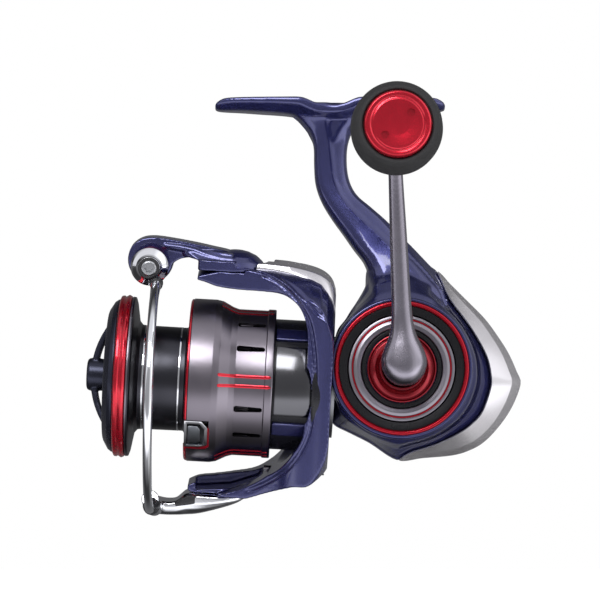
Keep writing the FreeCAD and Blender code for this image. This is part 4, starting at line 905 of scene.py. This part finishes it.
def line_roller():
    """The roller with its polished cap, and the screw through both."""
    lathe("line_roller_turned", [
        (3.2, 2.05), (3.2, 4.0), (3.8, 4.2), (4.4, 4.0), (5.2, 3.1, 0.8), (6.2, 3.0, 0.8), (7.4, 3.9),
        (8.0, 4.2), (8.4, 4.0), (8.4, 2.05)], HEAD, red_roller, "line_roller",
        ["line_roller"], 0.2, 96)
    lathe("bail_wire_cap_polished", [
        (8.6, 1.3), (8.6, 4.7), (8.9, 5.15), (9.5, 5.2), (10.2, 4.6, 0.5), (11.1, 3.6, 0.6), (11.8, 3.1),
        (12.6, 3.0), (12.6, 1.3)], HEAD, chrome, "bail", ["bail_wire_cap"], 0.25, 96)
    collar = [(12.3, 2.0), (12.3, 2.9), (12.9, 2.95), (13.2, 2.7), (13.25, 2.25), (13.0, 2.0)]
    lathe("line_roller_screw_collar", collar, HEAD, black, "bail", [], 0.12, 64)
    screw = lathe_mesh("screw", [(-2.4, 0), (-2.4, 1.2), (12.4, 1.2), (12.5, 2.0), (13.2, 2.1), (13.5, 1.7),
                                 (13.5, 0)], HEAD, 0.15, 64)
    star = []
    for k in range(24):
        a = 2 * math.pi * k / 24
        r = 1.05 + 0.22 * math.cos(6 * a)
        star.append((r * math.cos(a), r * math.sin(a)))
    socket = extruded("socket", [(12.7, y, z) for y, z in star], [(14.5, y, z) for y, z in star], HEAD)
    wrap("line_roller_torx_screw", carved(screw, [socket]), steel, "bail",
         ["line_roller_screw"], 30)


def arc_through(a, b, c, count):
    """Points of the circle arc from a through b to c."""
    a, b, c = Vector(a), Vector(b), Vector(c)
    ab, ac = b - a, c - a
    cross = ab.cross(ac)
    offset = cross.cross(ab) * ac.length_squared + ac.cross(cross) * ab.length_squared
    centre = a + offset / (2 * cross.length_squared)
    u = a - centre
    radius = u.length
    u.normalize()
    v = cross.normalized().cross(u)
    total = math.atan2((c - centre).dot(v), (c - centre).dot(u)) % (2 * math.pi)
    return [centre + (u * math.cos(total * k / count) + v * math.sin(total * k / count)) * radius
            for k in range(count + 1)]


WIRE_PATH = arc_through((67.6, 10.6, 28.0), (67.0, 43.0, -1.5), (66.2, 7.0, -33.6), 90)


def bail_wire():
    taper = [1.0 + 0.28 * (1 - min(k, 12) / 12) for k in range(len(WIRE_PATH))]
    wrap("bail_wire_bent", tube("bail_wire_bent", WIRE_PATH, 1.2, ROTOR, 32, taper), chrome, "bail",
         ["bail_wire"], 60)
    seal = tube("wire_seal", WIRE_PATH[1:5], 1.75, ROTOR, 32)
    wrap("bail_wire_seal", softened(seal, 0.3), black, "bail", [], 40)


def bail_holder():
    """The blade that holds the wire's far end, its socket, dark inset and boot."""
    # station, top, underside, half width
    table = [(68.0, -34.9, -35.5, 1.4), (67.4, -34.0, -36.8, 2.9), (65.5, -33.7, -38.0, 3.8),
             (62.4, -34.1, -38.2, 3.7), (60.0, -33.8, -38.1, 3.6), (58.6, -32.7, -38.0, 3.8),
             (57.0, -31.4, -37.8, 4.2), (54.1, -31.2, -37.4, 5.0), (51.1, -31.2, -36.6, 5.6),
             (46.6, -31.2, -35.1, 5.8), (42.9, -31.2, -33.6, 4.8), (40.7, -31.2, -32.2, 3.0)]
    sections = []
    for x, high, low, half in spline(table, 3):
        tall = high - low
        near = [(half * 0.8, high), (half, high - 0.12 * tall), (half, high - 0.45 * tall),
                (half * 0.9, high - 0.7 * tall),
                (half * 0.66, high - 0.9 * tall), (half * 0.3, low)]
        sections.append([(x, y, z) for y, z in near] + [(x, -y, z) for y, z in near[::-1]])
    blade = loft("blade", sections, ROTOR)
    socket = tube("socket", [(66.7, 10.6, -31.9), (66.4, 8.2, -33.4), (66.0, 5.6, -34.8),
                             (65.6, 3.0, -36.0)], 2.45, ROTOR, 32)
    skin = melted("bail_holder_cast", [blade, socket], voxel=0.22, smoothing=6)
    bore = lathe_mesh("bore", [(20, 0), (20, 1.7), (33.0, 1.7), (33.0, 3.1), (50, 3.1), (50, 0)], PIVOT_DOWN,
                      0, 48)
    wrap("bail_holder_cast", carved(skin, [bore]), chrome, "bail", ["bail_holder"], 80)
    inset = [(59.8, -35.0), (60.1, -33.9), (58.2, -32.6), (56.6, -31.9), (50.6, -31.6), (50.2, -32.3),
             (47.2, -32.4), (47.2, -32.8), (51.6, -33.3), (56.0, -34.3)]
    mesh = prism_mesh("inset", inset, 2.6, 4.9, ROTOR)
    wrap("bail_holder_inset", softened(mesh, 0.2, 2, 20), black, "bail", [], 40)
    boot = tube("boot", WIRE_PATH[-8:-2], 1.9, ROTOR, 32, [0.72, 0.95, 1.1, 1.2, 1.28, 1.3])
    wrap("bail_wire_boot", boot, black, "bail", [], 40)


# ------------------------------------------------------------------ spool
CLIP_ANGLE = 45.0
SKIRT_RADIUS = 22.5
# The skirt's outer radius at stations along the spool.
SKIRT = [(34.7, 20.55), (36.6, 20.55), (37.0, 20.2), (45.0, 20.2), (46.2, 20.55), (48.0, 21.4), (49.6, 22.2),
         (51.0, SKIRT_RADIUS), (57.6, SKIRT_RADIUS)]


def spool():
    """The turned spool with its slots, red edge, stripes, line clip, lip ring and front ring."""
    body = lathe_mesh("spool_body", [
        (48.0, 4.6), (48.0, 6.4), (66.0, 6.4), (66.0, 12.9), (57.0, 12.9), (57.0, 21.4), (50.3, 21.4),
        (46.0, 19.4), (34.9, 19.4, 0.1), (34.7, 19.6, 0.1), (34.7, 20.4, 0.15), (35.0, 20.55, 0.15),
        (36.7, 20.55, 0.1), (37.0, 20.2, 0.1), (45.0, 20.2, 0.5), (46.6, 20.7, 1.0), (49.4, 22.15, 1.5),
        (51.2, 22.5, 1.2), (57.4, 22.5, 0.1), (57.5, 22.2, 0.1), (58.1, 21.6, 0.3), (58.3, 15.2, 0.8),
        (58.9, 14.3, 0.4), (60.1, 14.25, 0.02), (60.12, 14.1, 0.02), (60.62, 14.1, 0.02),
        (60.64, 14.3, 0.02), (70.0, 14.35, 0.02), (70.02, 14.15, 0.02), (70.5, 14.15, 0.02),
        (70.52, 14.4, 0.02), (71.4, 14.5, 0.4), (72.3, 15.6, 0.7), (73.2, 20.8, 0.4), (73.6, 22.0, 0.2),
        (74.45, 22.1, 0.1), (74.45, 19.9), (77.95, 19.9), (77.95, 16.2), (78.5, 16.1), (78.5, 11.1),
        (67.5, 11.1), (67.5, 4.6)], SPOOL, 0.12, 192)
    cutters = []
    for k in range(15):
        if k % 3 == 0:
            continue
        front, rear = 0.92, 0.62
        outline = [(37.6, -rear), (37.2, -rear * 0.5), (37.2, rear * 0.5), (37.6, rear), (44.4, front),
                   (44.9, front * 0.6), (44.9, -front * 0.6), (44.4, -front)]
        cutters.append(prism_mesh("slot", outline, 17.0, 25.0, SPOOL @ turn(24 * k, "X")))
    clip = SPOOL @ turn(-CLIP_ANGLE, "X")
    cutters.append(box_mesh("clip_slot", (51.4, 59.0), (19.0, 26.0), (-5.0, 5.0), clip))
    wrap("spool_turned", carved(body, cutters), gunmetal, "spool", ["spool"], 28)
    for index, (x, r) in enumerate(((60.38, 14.32), (70.27, 14.38))):
        line = [(x - 0.24, 13.9), (x - 0.24, r), (x + 0.24, r), (x + 0.24, 13.9)]
        lathe("spool_barrel_line_%d" % (index + 1), line, SPOOL, chrome, "spool", [], 0.05, 128)
    ring = lathe_mesh("edge", [(57.55, 20.9), (57.55, 22.35), (57.95, 22.3), (58.25, 21.9), (58.3, 20.9)],
                      SPOOL, 0.1, 160)
    wrap("spool_skirt_red_edge", carved(ring, [box_mesh("gap", (55, 60), (19.0, 26.0), (-5.0, 5.0), clip)]),
         red_spool, "spool", [], 34)
    for index in range(10):
        rings = []
        a = math.radians(72 * (index // 2) + (1.7, -5.9)[index % 2])
        c, s = math.cos(a), math.sin(a)
        for k in range(41):
            x = 35.2 + 14.4 * k / 40
            r = level_at(x, SKIRT)
            end = min(1.0, (x - 35.0) / 0.5, (49.9 - x) / 0.5)
            half = 0.45 * end
            rim = ((-0.3, -half), (0.06, -half), (0.17, -half * 0.5), (0.17, half * 0.5), (0.06, half),
                   (-0.3, half))
            rings.append([(x, (r + h) * c - t * s, (r + h) * s + t * c) for h, t in rim])
        wrap("spool_skirt_stripe_%d" % (index + 1), loft("stripe", rings, SPOOL), red_spool, "spool",
             [], 60)
    line_clip(clip)
    lathe("spool_lip_ring_turned", [
        (74.5, 20.0), (74.5, 21.7), (74.8, 22.2, 0.3), (75.5, 22.55, 0.3), (76.1, 22.2, 0.2),
        (76.4, 22.0, 0.1), (76.8, 22.3, 0.3), (77.5, 22.2, 0.3), (77.9, 21.4, 0.3), (77.9, 20.0)], SPOOL,
        red_spool, "spool", ["spool_lip_ring"], 0.15, 192)
    lathe("spool_front_ring_turned", [
        (77.98, 16.4), (77.98, 21.2, 0.15), (78.5, 21.0, 0.2), (79.3, 20.4, 0.4), (80.6, 18.2, 0.3),
        (80.8, 17.6, 0.15), (80.8, 17.2, 0.1), (80.2, 16.8, 0.1), (79.0, 16.4)], SPOOL, dark_front, "spool",
        ["spool_front_ring"], 0.15, 192)


def line_clip(place):
    """The framed window of the line clip: frame, floor, pad and red trim."""
    def bent(name, outline, low, high):
        """A plate whose outline lies round the skirt: (station, millimetres round the skirt)."""
        fine = []
        for (x1, t1), (x2, t2) in zip(outline, outline[1:] + outline[:1]):
            for k in range(6):
                fine.append((x1 + (x2 - x1) * k / 6, t1 + (t2 - t1) * k / 6))
        n = len(fine)
        middle = [(sum(x for x, _ in fine) / n, sum(t for _, t in fine) / n)]
        verts = [(x, r * math.cos(t / SKIRT_RADIUS), r * math.sin(t / SKIRT_RADIUS))
                 for points in (fine, middle) for r in (low, high) for x, t in points]
        faces = ring_faces(2, n, closed_rows=False)
        faces += [((i + 1) % n, i, 2 * n) for i in range(n)]
        faces += [(n + i, n + (i + 1) % n, 2 * n + 1) for i in range(n)]
        return to_mesh(name, verts, faces, place)

    outer = [(51.7, -3.6), (52.6, -4.7), (58.0, -4.8), (58.0, 4.8), (53.4, 4.8), (51.7, 2.8)]
    inner = [(52.5, -3.2), (53.0, -3.9), (57.3, -4.0), (57.3, 3.9), (53.8, 3.9), (52.5, 2.3)]
    frame_ring = carved(bent("frame", outer, 19.8, 22.55), [bent("hole", inner, 18.0, 24.0)])
    wrap("line_clip_frame", softened(frame_ring, 0.12, 2), chrome, "spool", [], 40)
    floor_plate = bent("floor", [(51.6, -4.9), (58.1, -4.9), (58.1, 4.9), (51.6, 4.9)], 19.4, 20.4)
    wrap("line_clip_floor", floor_plate, black, "spool", [], 40)
    pad = bent("pad", [(53.7, -2.4), (54.2, -3.0), (57.0, -3.0), (57.0, 3.0), (54.4, 3.0), (53.7, 1.8)],
               20.0, 22.3)
    wrap("line_clip_pad", softened(pad, 0.3, 3), silver_clip, "spool", ["line_clip"], 40)
    trim = bent("trim", [(51.2, -4.2), (52.4, -5.35), (57.9, -5.4), (57.9, -4.9), (52.6, -4.85),
                         (51.65, -3.7)], 21.0, 22.62)
    wrap("line_clip_red_trim", trim, red_spool, "spool", [], 40)
    side = bent("side", [(51.2, -4.2), (51.65, -3.7), (51.65, 2.9), (51.2, 2.7)], 21.0, 22.62)
    wrap("line_clip_red_side", side, red_spool, "spool", [], 40)


def drag_knob():
    """The hub, rim and raised bridge of the drag knob in one skin."""
    hub = lathe_mesh("hub", [(79.2, 3.0), (79.2, 4.4), (85.4, 4.5, 0.3), (86.0, 4.1, 0.3), (86.2, 3.4, 0.2),
                             (86.1, 0), (83.7, 0), (83.7, 3.0)], SPOOL, 0.2, 64)
    rim = lathe_mesh("rim", [(78.8, 13.0), (78.8, 16.0), (79.7, 16.05, 0.2), (80.3, 15.6, 0.2),
                             (80.4, 13.6, 0.3), (80.0, 13.0)], SPOOL, 0.15, 128)
    rings = []
    for k in range(33):
        t = -1 + 2 * k / 32
        z = 15.0 * t
        crown = 80.1 + 5.0 * (1 - abs(t) ** 2.2)
        wide = 2.6 + 1.3 * abs(t) ** 2
        section = ((0.2, -wide), (1.5, -wide), (1.95, -wide + 0.5), (1.95, wide - 0.5), (1.5, wide),
                   (0.2, wide))
        rings.append([(crown - 2.0 + d, w, z) for d, w in section])
    bridge = loft("bridge", rings, SPOOL)
    skin = melted("drag_knob_bridge", [hub, bridge, rim], voxel=0.25, smoothing=4)
    wrap("drag_knob_bridge", skin, dark_front, "drag_knob", ["drag_knob"], 60)


# ------------------------------------------------------------------ stage
def floor():
    """A pale floor, bright enough to run into the white background."""
    mesh = bpy.data.meshes.new("studio_floor")
    half, level = 4.0, -0.175
    corners = [(-half, -half, level), (half, -half, level), (half, half, level), (-half, half, level)]
    mesh.from_pydata(corners, [], [(0, 1, 2, 3)])
    plane = bpy.data.objects.new("studio_floor", mesh)
    bpy.context.collection.objects.link(plane)
    pale = surface("pale_floor", (0.86, 0.86, 0.86), roughness=0.7, mottle=0.01)
    shader = nodes_of(pale)[1]
    shader.inputs["Emission Color"].default_value = (1, 1, 1, 1)
    shader.inputs["Emission Strength"].default_value = 0.75
    mesh.materials.append(pale)
    plane.visible_glossy = False


def lamp(name, position, target, size, power, glints=False):
    light = bpy.data.lights.new(name, "AREA")
    light.shape = "RECTANGLE"
    light.size, light.size_y = size
    light.energy = power
    item = bpy.data.objects.new(name, light)
    bpy.context.collection.objects.link(item)
    item.location = position
    item.rotation_euler = (Vector(target) - Vector(position)).to_track_quat("-Z", "Y").to_euler()
    item.visible_camera = False
    item.visible_glossy = glints


def world():
    """White to the camera, and in reflections a soft room, bright in front and dark behind."""
    item = bpy.data.worlds.new("studio")
    bpy.context.scene.world = item
    item.use_nodes = True
    tree = item.node_tree
    links = tree.links
    plain = tree.nodes["Background"]
    place = add(tree, "ShaderNodeTexCoord")
    split = add(tree, "ShaderNodeSeparateXYZ")
    links.new(place.outputs["Generated"], split.inputs[0])
    height = calculate(tree, "ARCTAN2", split.outputs["Z"], split.outputs["Y"])
    span = remapped(tree, height, From_Min=-math.pi, From_Max=math.pi)
    ramp = add(tree, "ShaderNodeValToRGB")
    stops = ramp.color_ramp.elements
    # degrees above the horizon, going round from the front over the top, and brightness
    room = [(-180, 0.08), (-150, 0.06), (-125, 0.02), (-105, 0.02), (-85, 0.08), (-68, 0.16), (-58, 0.62),
            (-30, 0.80), (-22, 0.22), (-8, 0.17), (10, 0.18), (24, 0.20), (34, 0.46), (84, 0.40), (98, 0.10),
            (112, 0.02), (128, 0.03), (150, 0.06), (180, 0.08)]
    stops.remove(stops[1])
    for index, (degrees, level) in enumerate(room):
        stop = stops[0] if index == 0 else stops.new((degrees + 180) / 360)
        stop.position = (degrees + 180) / 360
        stop.color = (level, level, level * 1.04, 1)
    links.new(span, ramp.inputs["Fac"])
    side = remapped(tree, split.outputs["X"], From_Min=-0.30, From_Max=-0.75, To_Max=0.36)
    front = remapped(tree, split.outputs["Y"], From_Min=-0.30, From_Max=0.15, To_Min=0.25)
    strip = calculate(tree, "MULTIPLY", side, front)
    links.new(mixed(tree, ramp.outputs["Color"], strip, blend_type="ADD"), plain.inputs["Color"])
    plain.inputs["Strength"].default_value = 2.0
    white = add(tree, "ShaderNodeBackground")
    white.inputs["Color"].default_value = (1, 1, 1, 1)
    white.inputs["Strength"].default_value = 1.0
    path = add(tree, "ShaderNodeLightPath")
    mix = add(tree, "ShaderNodeMixShader")
    links.new(path.outputs["Is Camera Ray"], mix.inputs[0])
    links.new(plain.outputs[0], mix.inputs[1])
    links.new(white.outputs[0], mix.inputs[2])
    links.new(mix.outputs[0], tree.nodes["World Output"].inputs["Surface"])


def camera():
    data = bpy.data.cameras.new("camera")
    data.lens = 184.08
    data.sensor_width = 36
    data.clip_start, data.clip_end = 0.05, 20
    item = bpy.data.objects.new("camera", data)
    bpy.context.collection.objects.link(item)
    item.location = (0.014225, 0.848865, -0.121386)
    item.rotation_euler = [math.radians(angle) for angle in (94.3985, 0.0301, 179.609)]
    bpy.context.scene.camera = item


floor()
world()
camera()
MIDDLE = (0.0, 0.0, -0.06)
lamp("key_softbox", (0.25, 0.75, 0.50), MIDDLE, (0.6, 0.4), 6, True)
lamp("fill_softbox", (-0.60, 0.60, 0.05), MIDDLE, (0.2, 0.6), 4)
lamp("left_strip", (0.75, 0.30, 0.0), MIDDLE, (0.12, 0.8), 2)
lamp("back_fill", (-0.2, -0.8, 0.3), MIDDLE, (0.8, 0.5), 8)
lamp("table_bounce", (0.0, 0.55, -0.52), MIDDLE, (0.8, 0.18), 4)
bpy.context.scene.view_settings.view_transform = "Standard"

body_casting()
rear_cover()
side_plate()
handle()
knob()
rotor()
rotor_trim()
bail_arm()
line_roller()
bail_wire()
bail_holder()
spool()
drag_knob()
